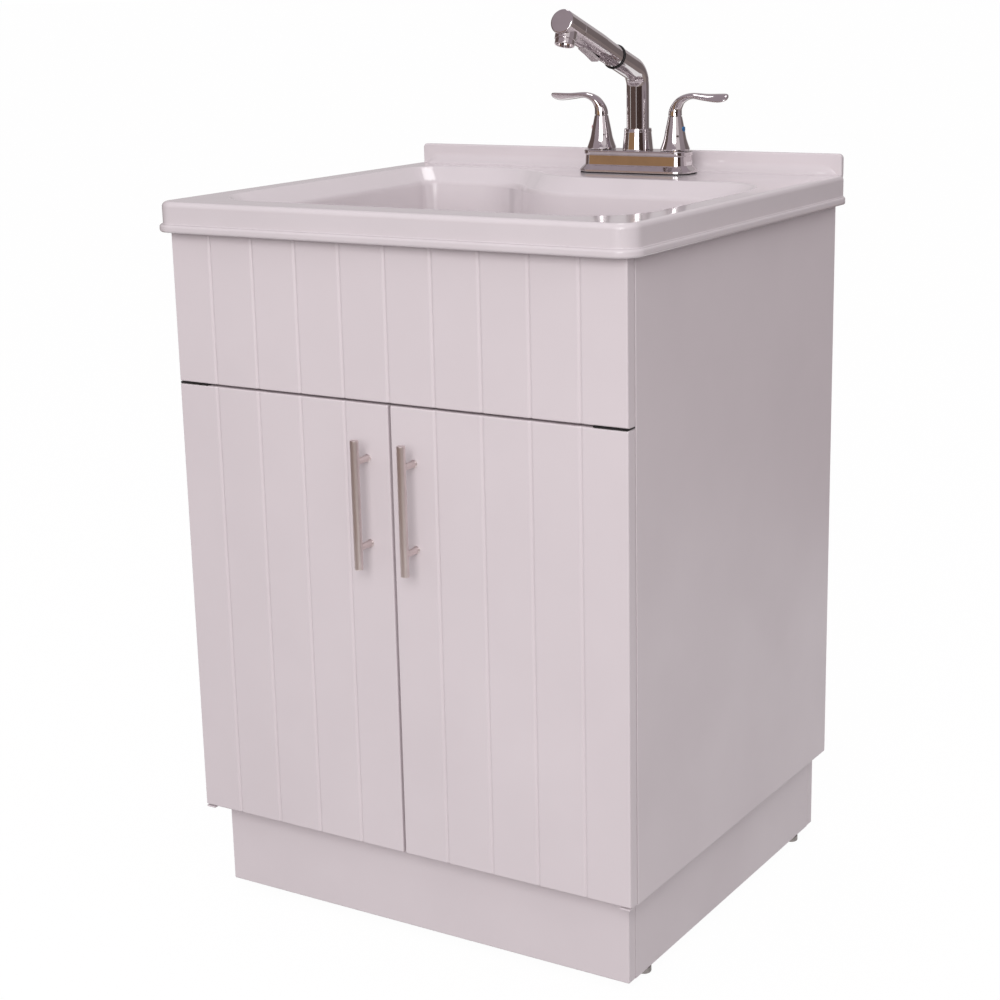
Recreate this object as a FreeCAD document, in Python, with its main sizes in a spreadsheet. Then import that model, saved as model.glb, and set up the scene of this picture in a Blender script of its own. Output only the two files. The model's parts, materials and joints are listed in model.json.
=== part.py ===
"""Laundry sink cabinet: grooved two-door cabinet, moulded sink top and pull-out tap, in millimetres.

Origin on the floor under the middle of the whole part. +X to the right, +Y to the wall, +Z up.
"""
import FreeCAD, Part
import math
import os
import re

from FreeCAD import Placement, Rotation, Vector

# Driving sizes: alias and value of each cell
SIZES = (
    # carcass
    ("cabinet_width", "582"), ("cabinet_depth", "528"), ("deck_gap", "5.3"),
    ("panel_thick", "15"), ("rail_depth", "40"), ("top_rail_height", "70"),
    ("back_rail_height", "100"), ("cleat_side", "20"), ("cleat_height", "110"),
    # doors and drawer front
    ("door_thick", "15"), ("door_height", "518.9"), ("door_lift", "2.8"),
    ("door_back_gap", "2"), ("door_gap", "3"), ("front_gap", "2.6"),
    ("drawer_front_height", "196"), ("front_edge_round", "1.8"),
    ("plank_pitch", "59.1"), ("groove_radius", "3"), ("groove_cut", "1.4"),
    # bar pulls
    ("pull_length", "145"), ("pull_diameter", "9.5"), ("pull_reach", "28"),
    ("pull_centres", "96"), ("pull_inset", "30.5"), ("pull_drop", "108.9"),
    ("post_diameter", "7.5"), ("screw_diameter", "4"), ("screw_head_diameter", "8"),
    ("screw_head_height", "2.4"), ("screw_bite", "10"),
    # pin pivots and catch
    ("pivot_side", "5"), ("pivot_inset", "6"), ("pin_diameter", "4"), ("pin_length", "11"),
    ("sleeve_diameter", "6"), ("plate_thick", "1.6"), ("plate_width", "12"), ("plate_edge", "1"),
    ("plate_length", "50"), ("plate_tab", "24"), ("catch_width", "56"), ("catch_height", "13"),
    ("catch_depth", "24"), ("strike_width", "18"), ("strike_thick", "1.5"),
    # plinth and feet
    ("plinth_height", "101"), ("plinth_side_inset", "16"), ("plinth_front_inset", "25.6"),
    ("plinth_back_inset", "5"), ("block_width", "38"), ("block_length", "56"),
    ("block_height", "45"), ("stud_setback", "33"),
    ("foot_height", "8"), ("foot_diameter", "17"), ("sole_round", "2.5"), ("stud_diameter", "6"),
    ("stud_length", "30"), ("insert_diameter", "10"), ("insert_length", "20"),
    # sink top
    ("rim_side_overhang", "11.4"), ("rim_front_overhang", "13.1"), ("rim_corner", "22"),
    ("rim_back_corner", "12"), ("rim_round", "6"), ("skirt_height", "34"), ("bead_height", "9"),
    ("bead_reach", "4"),
    ("sink_wall", "4"), ("splash_height", "24.5"), ("splash_thick", "6"), ("splash_round", "2"),
    ("splash_inset", "4.5"), ("splash_corner", "5"), ("splash_cove", "14"),
    ("basin_land", "25"), ("basin_front", "38"), ("basin_back", "53"), ("deck_front", "135"),
    ("basin_corner", "67"), ("recess_corner", "42"), ("tightest_corner", "14"),
    ("recess_length", "116"), ("step_run", "170"),
    ("lip_round", "3.5"), ("ledge_drop", "18"), ("ledge_inset", "22"), ("basin_depth", "290"),
    ("basin_draft", "20"), ("basin_floor_round", "34"),
    ("bracket_width", "30"), ("bracket_leg", "22"), ("bracket_thick", "2"), ("bracket_spread", "400"),
    # drain
    ("drain_forward", "2"), ("drain_hole_diameter", "90"), ("flange_diameter", "112"),
    ("flange_thick", "2.5"), ("strainer_depth", "52"), ("strainer_wall", "2"),
    ("outlet_diameter", "34"), ("gasket_thick", "3"), ("locknut_height", "12"),
    ("locknut_rim", "10"), ("tail_diameter", "38.1"), ("tail_wall", "1.5"), ("tail_length", "110"),
    ("tail_cuff_length", "16"), ("tail_cuff_step", "0.3"),
    ("slip_nut_height", "18"), ("slip_nut_rim", "7"), ("spigot_length", "20"),
    ("basket_depth", "30"), ("basket_wall", "1.6"), ("basket_hole_diameter", "7"),
    ("knob_diameter", "14"), ("knob_height", "16"),
    # tap body
    ("tap_right", "50"), ("tap_back", "51"), ("tap_centres", "101.6"), ("base_length", "152"),
    ("base_depth", "52"), ("base_height", "26"), ("base_flange", "4.5"), ("base_tread", "8"),
    ("base_step", "7"), ("base_lip", "5"), ("lip_proud", "1.2"), ("base_corner", "20"), ("tap_gasket", "1.5"),
    ("shank_diameter", "22"), ("shank_bore", "12"), ("shank_length", "62"),
    ("supply_diameter", "20.9"), ("supply_length", "40"),
    ("tap_nut_diameter", "42"), ("tap_nut_height", "12"), ("valve_diameter", "18"),
    ("valve_height", "24"), ("stem_diameter", "8"), ("stem_length", "10"),
    # tap handles
    ("hub_diameter", "36"), ("waist_diameter", "23.6"), ("neck_diameter", "17"),
    ("hub_height", "42"), ("waist_height", "26"), ("hub_edge", "2"),
    ("lever_reach", "70"), ("lever_rise", "25"), ("lever_width", "17"), ("lever_thick", "6"),
    ("lever_roll", "30"),
    ("index_diameter", "6"), ("index_proud", "0.8"), ("index_depth", "1"),
    # spout and spray head
    ("collar_base", "38"), ("collar_top", "33"), ("collar_height", "26"), ("collar_step", "4"),
    ("spout_diameter", "28"), ("spout_wall", "2"), ("spout_rise", "19.5"), ("bend_height", "93"),
    ("bend_radius", "24"), ("arm_length", "60.6"), ("ring_thick", "2.4"), ("ring_proud", "1"),
    ("head_length", "131"), ("head_diameter", "29"), ("head_neck", "27"), ("neck_length", "13"),
    ("swell_length", "30"), ("cap_round", "3.6"), ("dock_length", "22"), ("dock_diameter", "18"),
    ("aerator_diameter", "23"), ("aerator_wall", "2.4"), ("aerator_drop", "6"),
    ("aerator_back", "15"), ("outlet_wall", "1"), ("toggle_length", "36"), ("toggle_width", "10"),
    ("toggle_thick", "4.6"), ("toggle_proud", "5.8"), ("toggle_tilt", "6.9"), ("toggle_heel", "6"),
    ("toggle_back", "60"), ("lug_wall", "1.6"), ("pocket_radius", "6.5"), ("toggle_pin", "2"),
    ("pin_radius", "10.6"), ("pin_bite", "1.5"),
    # clearances and small edges
    ("running_gap", "0.05"), ("free_gap", "0.4"), ("plate_gap", "0.5"), ("hole_gap", "0.2"),
    ("end_gap", "2"), ("edge_ease", "1"),
)

doc = FreeCAD.newDocument("laundry_sink_cabinet")
sheet = doc.addObject("Spreadsheet::Sheet", "dims")
for row, (alias, text) in enumerate(SIZES, start=1):
    sheet.set(f"A{row}", alias)
    sheet.set(f"B{row}", text)
    sheet.setAlias(f"B{row}", alias)
doc.recompute()

ALIASES = {alias for alias, _ in SIZES}
UP = Vector(0, 0, 1)
ALONG_X = Vector(1, 0, 0)
parts = {}


def size(alias):
    """Value of one cell of the sheet."""
    return float(sheet.get(alias))


def bind(thing, prop, expression):
    """Tie a property to the sheet, with the cells named by their aliases."""
    thing.setExpression(prop, re.sub(r"[a-z_]+", lambda word: "dims." + word.group()
                                     if word.group() in ALIASES else word.group(), str(expression)))


def place(thing, at):
    """Tie the x, y and z of a thing's place to the sheet."""
    for axis, expression in zip("xyz", at):
        bind(thing, f".Placement.Base.{axis}", expression)
    return thing


def box(lengths, at):
    """A block of the given lengths, from its lowest corner."""
    thing = doc.addObject("Part::Box", "block")
    for prop, expression in zip(("Length", "Width", "Height"), lengths):
        bind(thing, prop, expression)
    return place(thing, at)


def rod(diameter, length, at, turn=None):
    """A cylinder from the middle of its first end, upright or turned."""
    thing = doc.addObject("Part::Cylinder", "rod")
    bind(thing, "Radius", f"({diameter}) / 2")
    bind(thing, "Height", length)
    if turn:
        thing.Placement = Placement(Vector(), turn)
    return place(thing, at)


def tube(outer, inner, length, at):
    """A straight upright tube."""
    return cut(rod(outer, length, at), rod(inner, length, at))


def joined(*things):
    """Several overlapping solids made into one."""
    thing = doc.addObject("Part::MultiFuse", "fuse")
    thing.Shapes = list(things)
    thing.Refine = True
    return thing


def group(*things):
    """Separate solids that share one node."""
    thing = doc.addObject("Part::Compound", "group")
    thing.Links = list(things)
    return thing


def cut(base, *tools):
    """A solid with other solids taken away from it."""
    thing = doc.addObject("Part::Cut", "cut")
    thing.Base = base
    thing.Tool = tools[0] if len(tools) == 1 else group(*tools)
    return thing


def formed(shape, at, tilt=None):
    """A shape worked out in its own frame, then placed by the sheet; tilt turns it about X."""
    thing = doc.addObject("Part::Feature", "form")
    thing.Shape = shape
    if tilt is not None:
        thing.Placement = Placement(Vector(), Rotation(ALONG_X, 1))
        bind(thing, ".Placement.Rotation.Angle", tilt)
    return place(thing, at)


def node(name, thing):
    """Name a finished sub-part."""
    thing.Label = name
    parts[name] = thing


def turned(profile):
    """Solid of revolution about Z from (radius, height) points; a Wire is used as it is."""
    if isinstance(profile, list):
        corners = [Vector(radius, 0, height) for radius, height in profile]
        profile = Part.makePolygon(corners + corners[:1])
    return Part.Face(profile).revolve(Vector(), UP, 360)


# Turns a cylinder so that it runs forward, away from the wall
FORWARD = Rotation(ALONG_X, 90)
BACKWARD = Rotation(ALONG_X, -90)

# Places that several pieces share
FACE = "((pull_reach - cabinet_depth) / 2)"
CARCASS_FRONT = f"({FACE} + door_thick + door_back_gap)"
CARCASS_BACK = f"({FACE} + cabinet_depth - sink_wall)"
CARCASS_LENGTH = "(cabinet_depth - sink_wall - door_thick - door_back_gap)"
INNER_WIDTH = "(cabinet_width - 2 * panel_thick)"
CARCASS_HEIGHT = "(door_lift + door_height + front_gap + drawer_front_height + deck_gap)"
BASE = "(foot_height + plinth_height)"
DECK_UNDERSIDE = f"({BASE} + {CARCASS_HEIGHT})"
RIM_TOP = f"({DECK_UNDERSIDE} + sink_wall)"
DOOR_BOTTOM = f"({BASE} + door_lift)"
DOOR_TOP = f"({DOOR_BOTTOM} + door_height)"
DRAWER_BOTTOM = f"({DOOR_TOP} + front_gap)"
RAIL_TOP = f"({DOOR_TOP} + plate_gap)"
PULL_MIDDLE = f"({DOOR_TOP} - pull_drop)"
TAP_AT = ("tap_right", f"{FACE} + cabinet_depth - tap_back", RIM_TOP)
DRAIN_Y = f"{FACE} + (basin_front + cabinet_depth - deck_front) / 2 - drain_forward"
SINK_AT = ("0", FACE, RIM_TOP)
SIDES = {"left": -1, "right": 1}

# How far a cutting tool runs on past the face that it leaves
OVERCUT = 1


def mirrored(side, from_left, width):
    """X of the low side of something that lies this far in from the outer face of a side."""
    if side == "left":
        return f"-cabinet_width / 2 + ({from_left})"
    return f"cabinet_width / 2 - ({from_left}) - ({width})"


# Carcass
def build_carcass():
    """Side panels with a mortise for the lower pivot plate, bottom, rails and drawer front cleats."""
    for side in SIDES:
        panel = box(("panel_thick", CARCASS_LENGTH, CARCASS_HEIGHT),
                    (mirrored(side, "0", "panel_thick"), CARCASS_FRONT, BASE))
        mortise = box(("plate_width + 2 * hole_gap", "plate_length + hole_gap", "plate_thick"),
                      (mirrored(side, "plate_edge - hole_gap", "plate_width + 2 * hole_gap"),
                       f"{FACE} + pivot_inset - plate_width / 2", BASE))
        node(f"{side}_side_panel", cut(panel, mortise))
    left = f"-{INNER_WIDTH} / 2"
    node("bottom_panel", box((INNER_WIDTH, CARCASS_LENGTH, "panel_thick"), (left, CARCASS_FRONT, BASE)))
    node("front_top_rail", box((INNER_WIDTH, "panel_thick", "top_rail_height"),
                               (left, f"{FACE} + door_thick", f"{DECK_UNDERSIDE} - top_rail_height")))
    node("front_middle_rail", box((INNER_WIDTH, "rail_depth", "panel_thick"),
                                  (left, CARCASS_FRONT, f"{RAIL_TOP} - panel_thick")))
    back = f"{CARCASS_BACK} - panel_thick"
    node("back_top_rail", box((INNER_WIDTH, "panel_thick", "back_rail_height"),
                              (left, back, f"{DECK_UNDERSIDE} - back_rail_height")))
    node("back_bottom_rail", box((INNER_WIDTH, "panel_thick", "back_rail_height"),
                                 (left, back, f"{BASE} + panel_thick")))
    node("drawer_front_cleats", group(*(
        box(("cleat_side", "cleat_side", "cleat_height"),
            (mirrored(side, "panel_thick", "cleat_side"), f"{FACE} + door_thick",
             f"{DECK_UNDERSIDE} - top_rail_height - cleat_height"))
        for side in SIDES)))


def rounded_front(slab):
    """Round the edges of a slab's front face."""
    doc.recompute()
    shape = slab.Shape
    front = shape.BoundBox.YMin
    thing = doc.addObject("Part::Fillet", "rounded")
    thing.Base = slab
    radius = size("front_edge_round")
    thing.Edges = [(index, radius, radius) for index, edge in enumerate(shape.Edges, start=1)
                   if edge.BoundBox.YMax - front < 1e-6]
    return thing


def grooves(first, last, height, bottom):
    """Upright round-bottomed grooves between planks, counted from the middle of the front."""
    return [rod("2 * groove_radius", f"{height} + 2 * {OVERCUT}", (
        f"{number} * plank_pitch", f"{FACE} - groove_radius + groove_cut", f"{bottom} - {OVERCUT}"))
        for number in range(first, last + 1)]


def build_fronts():
    """The fixed drawer front and the two doors, with the bores for their sleeves and pull screws."""
    front = box(("cabinet_width", "door_thick", "drawer_front_height"),
                ("-cabinet_width / 2", FACE, DRAWER_BOTTOM))
    room = size("cabinet_width") / 2 - 2 * size("groove_radius") - size("front_edge_round")
    count = int(room / size("plank_pitch"))
    node("drawer_front", cut(rounded_front(front), *grooves(
        -count, count, "drawer_front_height", DRAWER_BOTTOM)))
    for side, sign in SIDES.items():
        width = "(cabinet_width - door_gap) / 2"
        slab = box((width, "door_thick", "door_height"), (mirrored(side, "0", width), FACE, DOOR_BOTTOM))
        first, last = sorted((sign, sign * count))
        tools = grooves(first, last, "door_height", DOOR_BOTTOM)
        for bottom in sleeve_bottoms():
            tools.append(rod("sleeve_diameter + 2 * running_gap", "pin_length + end_gap",
                             pivot_at(sign, bottom)))
        for height in pull_heights():
            tools.append(rod("screw_diameter + 2 * hole_gap", f"door_thick + 2 * {OVERCUT}",
                             (f"{sign} * pull_inset", f"{FACE} - {OVERCUT}", height), BACKWARD))
        node(f"{side}_door", cut(rounded_front(slab), *tools))


def sleeve_bottoms():
    """Heights of the lower ends of the two sleeves in a door edge."""
    return (DOOR_BOTTOM, f"{DOOR_TOP} - pin_length - end_gap")


def pivot_at(sign, height):
    """Place on the upright pivot axis of a door."""
    return (f"{sign} * (cabinet_width / 2 - pivot_side)", f"{FACE} + pivot_inset", height)


def pull_heights():
    """Heights of the two posts of a pull."""
    return (f"{PULL_MIDDLE} - pull_centres / 2", f"{PULL_MIDDLE} + pull_centres / 2")


def build_pulls():
    """Bar pulls on two posts each, held by screws from inside the door."""
    for side, sign in SIDES.items():
        across = f"{sign} * pull_inset"
        bar_y = f"{FACE} - pull_reach + pull_diameter / 2"

        def bar():
            return rod("pull_diameter", "pull_length", (across, bar_y, f"{PULL_MIDDLE} - pull_length / 2"))

        node(f"{side}_pull_bar", bar())
        posts, screws = [], []
        for height in pull_heights():
            post = rod("post_diameter", "pull_reach - pull_diameter / 2", (across, FACE, height), FORWARD)
            bore = rod("screw_diameter + 2 * running_gap", "screw_bite + end_gap",
                       (across, FACE, height), FORWARD)
            posts.append(cut(post, bar(), bore))
            back = f"{FACE} + door_thick"
            screws.append(joined(
                rod("screw_head_diameter", "screw_head_height", (across, back, height), BACKWARD),
                rod("screw_diameter", "door_thick + screw_bite", (across, back, height), FORWARD)))
        node(f"{side}_pull_posts", group(*posts))
        node(f"{side}_pull_screws", group(*screws))


def build_pivots():
    """Pin plates in the gaps above and below each door, sleeves in the door edges, and the catch."""
    for side, sign in SIDES.items():
        front = f"{FACE} + pivot_inset - plate_width / 2"
        strip = mirrored(side, "plate_edge", "plate_width")
        lower = joined(box(("plate_width", "plate_length", "plate_thick"), (strip, front, BASE)),
                       rod("pin_diameter", "door_lift + pin_length", pivot_at(sign, BASE)))
        tongue = box(("plate_tab + panel_thick", f"{CARCASS_FRONT} - hole_gap - ({front})", "plate_thick"),
                     (mirrored(side, "plate_edge", "plate_tab + panel_thick"), front, RAIL_TOP))
        tab = box(("plate_tab", f"{CARCASS_FRONT} + rail_depth / 2 - ({front})", "plate_thick"),
                  (mirrored(side, "panel_thick + plate_edge", "plate_tab"), front, RAIL_TOP))
        pin = rod("pin_diameter", "pin_length + plate_gap + plate_thick",
                  pivot_at(sign, f"{DOOR_TOP} - pin_length"))
        node(f"{side}_pivot_plates", group(lower, joined(tongue, tab, pin)))
        node(f"{side}_pivot_sleeves", group(*(
            tube("sleeve_diameter", "pin_diameter + 2 * running_gap", "pin_length + end_gap",
                 pivot_at(sign, bottom)) for bottom in sleeve_bottoms())))
        node(f"{side}_strike_plate", box(
            ("strike_width", "strike_thick", "catch_height"),
            (f"{sign} * catch_width / 4 - strike_width / 2", f"{FACE} + door_thick",
             f"{RAIL_TOP} - panel_thick - catch_height")))
    node("magnetic_catch", box(
        ("catch_width", "catch_depth", "catch_height"),
        ("-catch_width / 2", f"{FACE} + door_thick + strike_thick + hole_gap",
         f"{RAIL_TOP} - panel_thick - catch_height")))


# Plinth and feet
PLINTH_HALF = "(cabinet_width / 2 - plinth_side_inset)"
PLINTH_FRONT = f"({FACE} + plinth_front_inset)"
PLINTH_BACK = f"({FACE} + cabinet_depth - plinth_back_inset)"


def corners():
    """Name, low corner of the block and axis of the foot, at each corner of the plinth."""
    front, back = f"{PLINTH_FRONT} + panel_thick", f"{PLINTH_BACK} - panel_thick"
    for side, sign in SIDES.items():
        low_x = mirrored(side, "plinth_side_inset + panel_thick", "block_width")
        axis_x = f"{sign} * ({PLINTH_HALF} - panel_thick / 2)"
        yield f"front_{side}", (low_x, front), (axis_x, f"{front} + stud_setback")
        yield f"back_{side}", (low_x, f"{back} - block_length"), (axis_x, f"{back} - stud_setback")


def build_plinth():
    """Four plinth boards, corner blocks, and levelling feet in threaded inserts in the side boards."""
    full, inner = f"2 * {PLINTH_HALF}", f"{PLINTH_BACK} - {PLINTH_FRONT} - 2 * panel_thick"
    node("plinth_front", box((full, "panel_thick", "plinth_height"),
                             (f"-{PLINTH_HALF}", PLINTH_FRONT, "foot_height")))
    node("plinth_back", box((full, "panel_thick", "plinth_height"),
                            (f"-{PLINTH_HALF}", f"{PLINTH_BACK} - panel_thick", "foot_height")))
    blocks, inserts, bores = [], [], {side: [] for side in SIDES}
    sole, rounding = size("foot_diameter") / 2, size("sole_round")
    for name, low, axis in corners():
        blocks.append(box(("block_width", "block_length", "block_height"), (*low, "foot_height")))
        bores[name.split("_")[1]] += [
            rod("insert_diameter", "insert_length", (*axis, "foot_height")),
            rod("stud_diameter + 2 * free_gap", "stud_length + end_gap", (*axis, "foot_height"))]
        inserts.append(tube("insert_diameter", "stud_diameter + 2 * running_gap", "insert_length",
                            (*axis, "foot_height")))
        high, stud = size("foot_height"), size("stud_diameter") / 2
        node(f"{name}_foot", formed(turned([
            (0, 0), (sole - rounding, 0), (sole, rounding), (sole, high - rounding), (sole - rounding, high),
            (stud, high), (stud, high + size("stud_length")), (0, high + size("stud_length"))]),
            (*axis, "0")))
    for side in SIDES:
        board = box(("panel_thick", inner, "plinth_height"),
                    (mirrored(side, "plinth_side_inset", "panel_thick"), f"{PLINTH_FRONT} + panel_thick",
                     "foot_height"))
        node(f"plinth_{side}", cut(board, *bores[side]))
    node("plinth_corner_blocks", group(*blocks))
    node("foot_inserts", group(*inserts))


# Sink top
def basin_outline(inset, height):
    """Outline of the basin, drawn in by inset: deep at the left, stepped forward at the tap deck."""
    opening = size("cabinet_width") / 2 - size("basin_land")
    recess_back = size("cabinet_depth") - size("basin_back")
    deck_edge = size("cabinet_depth") - size("deck_front")
    half, front = opening - inset, size("basin_front") + inset
    back, deck = recess_back - inset, deck_edge - inset
    tightest = size("tightest_corner")
    corner = max(size("basin_corner") - inset, tightest)
    recess = max(size("recess_corner") - inset, tightest)
    run, step = size("step_run"), recess_back - deck_edge
    x_end = size("recess_length") - opening
    x_deck = x_end + run
    bend = (run ** 2 + step ** 2) / (4 * step)
    inner = Vector(x_end, recess_back - bend, height)
    outer = Vector(x_deck, deck_edge + bend, height)
    swing = math.atan2(outer.y - inner.y, outer.x - inner.x)

    def point(x, y):
        return Vector(x, y, height)

    def arc(centre, radius, start, end):
        ends = [centre + Vector(math.cos(a), math.sin(a), 0) * radius
                for a in (start, (start + end) / 2, end)]
        return Part.Arc(*ends).toShape()

    def line(x_from, y_from, x_to, y_to):
        return Part.makeLine(point(x_from, y_from), point(x_to, y_to))

    quarter = math.pi / 2
    return Part.Wire([
        line(-half, front + corner, -half, back - recess),
        arc(point(-half + recess, back - recess), recess, 2 * quarter, quarter),
        line(-half + recess, back, x_end, back),
        arc(inner, bend - inset, quarter, swing),
        arc(outer, bend + inset, swing + 2 * quarter, 3 * quarter),
        line(x_deck, deck, half - corner, deck),
        arc(point(half - corner, deck - corner), corner, quarter, 0),
        line(half, deck - corner, half, front + corner),
        arc(point(half - corner, front + corner), corner, 0, -quarter),
        line(half - corner, front, -half + corner, front),
        arc(point(-half + corner, front + corner), corner, -quarter, -2 * quarter),
    ])


def basin(wall):
    """Solid of the basin's hollow, or of its outside where a wall is given."""
    lip, drop, inset = size("lip_round"), size("ledge_drop"), size("ledge_inset")
    depth, floor_round = size("basin_depth"), size("basin_floor_round")
    slant = lip * (1 - math.sqrt(0.5))
    rings = [(-wall, -wall / 2)] if wall else [(-lip, OVERCUT), (-lip, 0), (-slant, -slant), (0, -lip)]
    rings.append((inset - wall, -drop))
    for degrees in (0, 30, 60, 90):
        across, down = math.cos(math.radians(degrees)), math.sin(math.radians(degrees))
        radius = floor_round + wall
        rings.append((inset + size("basin_draft") - wall + radius * (1 - across),
                      floor_round - depth - radius * down))
    return Part.makeLoft([basin_outline(*ring) for ring in rings], True, True)


def block(half, front, back, low, high, corner, back_corner):
    """A block that is rounded at its front and back corners."""
    solid = Part.makeBox(2 * half, back - front, high - low, Vector(-half, front, low))
    for radius, near in ((corner, front), (back_corner, back)):
        upright = [edge for edge in solid.Edges if edge.BoundBox.ZLength > high - low - 1e-6
                   and abs(edge.BoundBox.YMin - near) < 1e-6]
        solid = solid.makeFillet(radius, upright)
    return solid


def eased(solid, radius, *heights):
    """Round the edges that lie at these heights."""
    edges = [edge for edge in solid.Edges if edge.BoundBox.ZLength < 1e-6
             and any(abs(edge.BoundBox.ZMin - height) < 1e-6 for height in heights)]
    return solid.makeFillet(radius, edges)


def upstand(half, back, low):
    """A thin upstand along the wall, rounded at its top, with a cove at its foot."""
    high, thick, cove = size("splash_height"), size("splash_thick"), size("splash_cove")
    front = back - thick
    plate = Part.makeBox(2 * half, thick, high - low, Vector(-half, front, low))
    ends = [edge for edge in plate.Edges if edge.BoundBox.YLength > thick - 1e-6
            and edge.BoundBox.ZMin > high - 1e-6]
    plate = plate.makeFillet(size("splash_corner"), ends)
    top = [edge for edge in plate.Edges if edge.BoundBox.YLength < 1e-6
           and edge.BoundBox.ZMax > high - size("splash_corner") - 1e-6]
    plate = plate.makeFillet(size("splash_round"), top)
    length = 2 * (half - size("splash_corner"))
    foot = Part.makeBox(length, cove, cove, Vector(-length / 2, front - cove, 0))
    scoop = Part.makeCylinder(cove, length, Vector(-length / 2, front - cove, cove), ALONG_X)
    return plate.fuse(foot.cut(scoop))


BEAD_EASING = 0.4
TAP_HOLES = (-0.5, 0, 0.5)


def build_sink():
    """Moulded sink top: rim with skirt and bead, upstand at the wall, and a deep basin."""
    half = size("cabinet_width") / 2 + size("rim_side_overhang")
    front, back = -size("rim_front_overhang"), size("cabinet_depth")
    wall, skirt, corner = size("sink_wall"), size("skirt_height"), size("rim_corner")
    reach, bead_top = size("bead_reach"), size("bead_height") - skirt
    back_corner = size("rim_back_corner")
    rim = eased(block(half, front, back, -skirt, 0, corner, back_corner), size("rim_round"), 0)
    bead = block(half + reach, front - reach, back, -skirt, bead_top, corner + reach, back_corner + reach)
    bead = eased(bead, size("bead_height") * BEAD_EASING, -skirt, bead_top)
    hollow = block(half - wall, front + wall, back - wall, -skirt - OVERCUT, -wall, corner - wall, wall)
    splash = upstand(half - size("splash_inset"), back, -skirt)
    shape = rim.fuse([bead, splash]).cut(hollow).fuse(basin(wall)).cut(basin(0))
    depth, drain_y = size("basin_depth"), (size("basin_front") + back - size("deck_front")) / 2
    holes = [Part.makeCylinder(size("drain_hole_diameter") / 2, depth,
                               Vector(0, drain_y - size("drain_forward"), -1.5 * depth))]
    for share in TAP_HOLES:
        middle = Vector(size("tap_right") + share * size("tap_centres"), back - size("tap_back"), -2 * wall)
        holes.append(Part.makeCylinder(size("shank_diameter") / 2 + size("free_gap"), 3 * wall, middle))
    node("sink_top", formed(shape.cut(holes).removeSplitter(), SINK_AT))

    foot = f"{CARCASS_BACK} - panel_thick - bracket_leg"
    brackets = []
    for sign in SIDES.values():
        low_x = f"{sign} * bracket_spread / 2 - bracket_width / 2"
        brackets.append(joined(
            box(("bracket_width", "bracket_leg", "bracket_thick"),
                (low_x, foot, f"{DECK_UNDERSIDE} - bracket_thick")),
            box(("bracket_width", "bracket_thick", "bracket_leg"),
                (low_x, f"{CARCASS_BACK} - panel_thick - bracket_thick",
                 f"{DECK_UNDERSIDE} - bracket_leg"))))
    node("sink_brackets", group(*brackets))


# Drain
BASKET_HOLES = 12


def build_drain():
    """Strainer body clamped through the basin floor, lift-out basket, and tailpiece."""
    floor = ("0", DRAIN_Y, f"{RIM_TOP} - basin_depth")
    below = f"{RIM_TOP} - basin_depth - sink_wall"
    body, wall = size("drain_hole_diameter") / 2 - size("free_gap"), size("strainer_wall")
    depth, thick, flange = size("strainer_depth"), size("flange_thick"), size("flange_diameter") / 2
    outlet, spigot = size("outlet_diameter") / 2, size("spigot_length")
    node("strainer_body", formed(turned([
        (body - wall, thick), (flange, thick), (flange, 0), (body, 0), (body, -depth),
        (outlet + wall, -depth), (outlet + wall, -depth - spigot), (outlet, -depth - spigot),
        (outlet, wall - depth), (body - wall, wall - depth)]), floor))
    node("strainer_gasket", tube("flange_diameter", "drain_hole_diameter", "gasket_thick",
                                 (floor[0], floor[1], f"{below} - gasket_thick")))
    node("strainer_locknut", tube(
        "drain_hole_diameter + 2 * locknut_rim", "drain_hole_diameter - 2 * free_gap + 2 * running_gap",
        "locknut_height", (floor[0], floor[1], f"{below} - gasket_thick - locknut_height")))
    joint = f"{RIM_TOP} - basin_depth - strainer_depth - spigot_length"
    tail_end = (floor[0], floor[1], f"{joint} - tail_length")
    cuff = rod("tail_diameter + 2 * tail_cuff_step", "tail_cuff_length",
               (floor[0], floor[1], f"{joint} - tail_cuff_length"))
    node("tailpiece", cut(joined(rod("tail_diameter", "tail_length", tail_end), cuff),
                          rod("tail_diameter - 2 * tail_wall", "tail_length", tail_end)))
    node("tailpiece_nut", tube(
        "tail_diameter + 2 * slip_nut_rim", "tail_diameter + 2 * tail_cuff_step + 2 * hole_gap",
        "slip_nut_height", (floor[0], floor[1], f"{joint} - slip_nut_height / 2")))

    skin, deep, knob = size("basket_wall"), size("basket_depth"), size("knob_diameter") / 2
    cup, rim = body - 2 * wall, body + wall
    top = size("knob_height") - deep + skin
    basket = turned([
        (0, -deep), (cup, -deep), (cup, thick), (rim, thick), (rim, thick + skin), (cup - skin, thick + skin),
        (cup - skin, skin - deep), (knob / 2, skin - deep), (knob / 2, top), (knob, top + knob / 2),
        (knob, top + knob), (0, top + 1.5 * knob)])
    ring = (cup + knob) / 2
    for number in range(BASKET_HOLES):
        angle = 2 * math.pi * number / BASKET_HOLES
        basket = basket.cut(Part.makeCylinder(
            size("basket_hole_diameter") / 2, 3 * skin,
            Vector(ring * math.cos(angle), ring * math.sin(angle), -deep - skin)))
    node("strainer_basket", formed(basket, floor))


# Tap
BASE_TOP = f"({RIM_TOP} + tap_gasket + base_height)"


def rounded_plate(inset, low, high):
    """A plate of the tap base's outline, drawn in by inset, with rounded corners."""
    length, depth = size("base_length") - 2 * inset, size("base_depth") - 2 * inset
    solid = Part.makeBox(length, depth, high - low, Vector(-length / 2, -depth / 2, low))
    upright = [edge for edge in solid.Edges if edge.BoundBox.ZLength > high - low - 1e-6]
    return solid.makeFillet(size("base_corner") - inset, upright)


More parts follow.
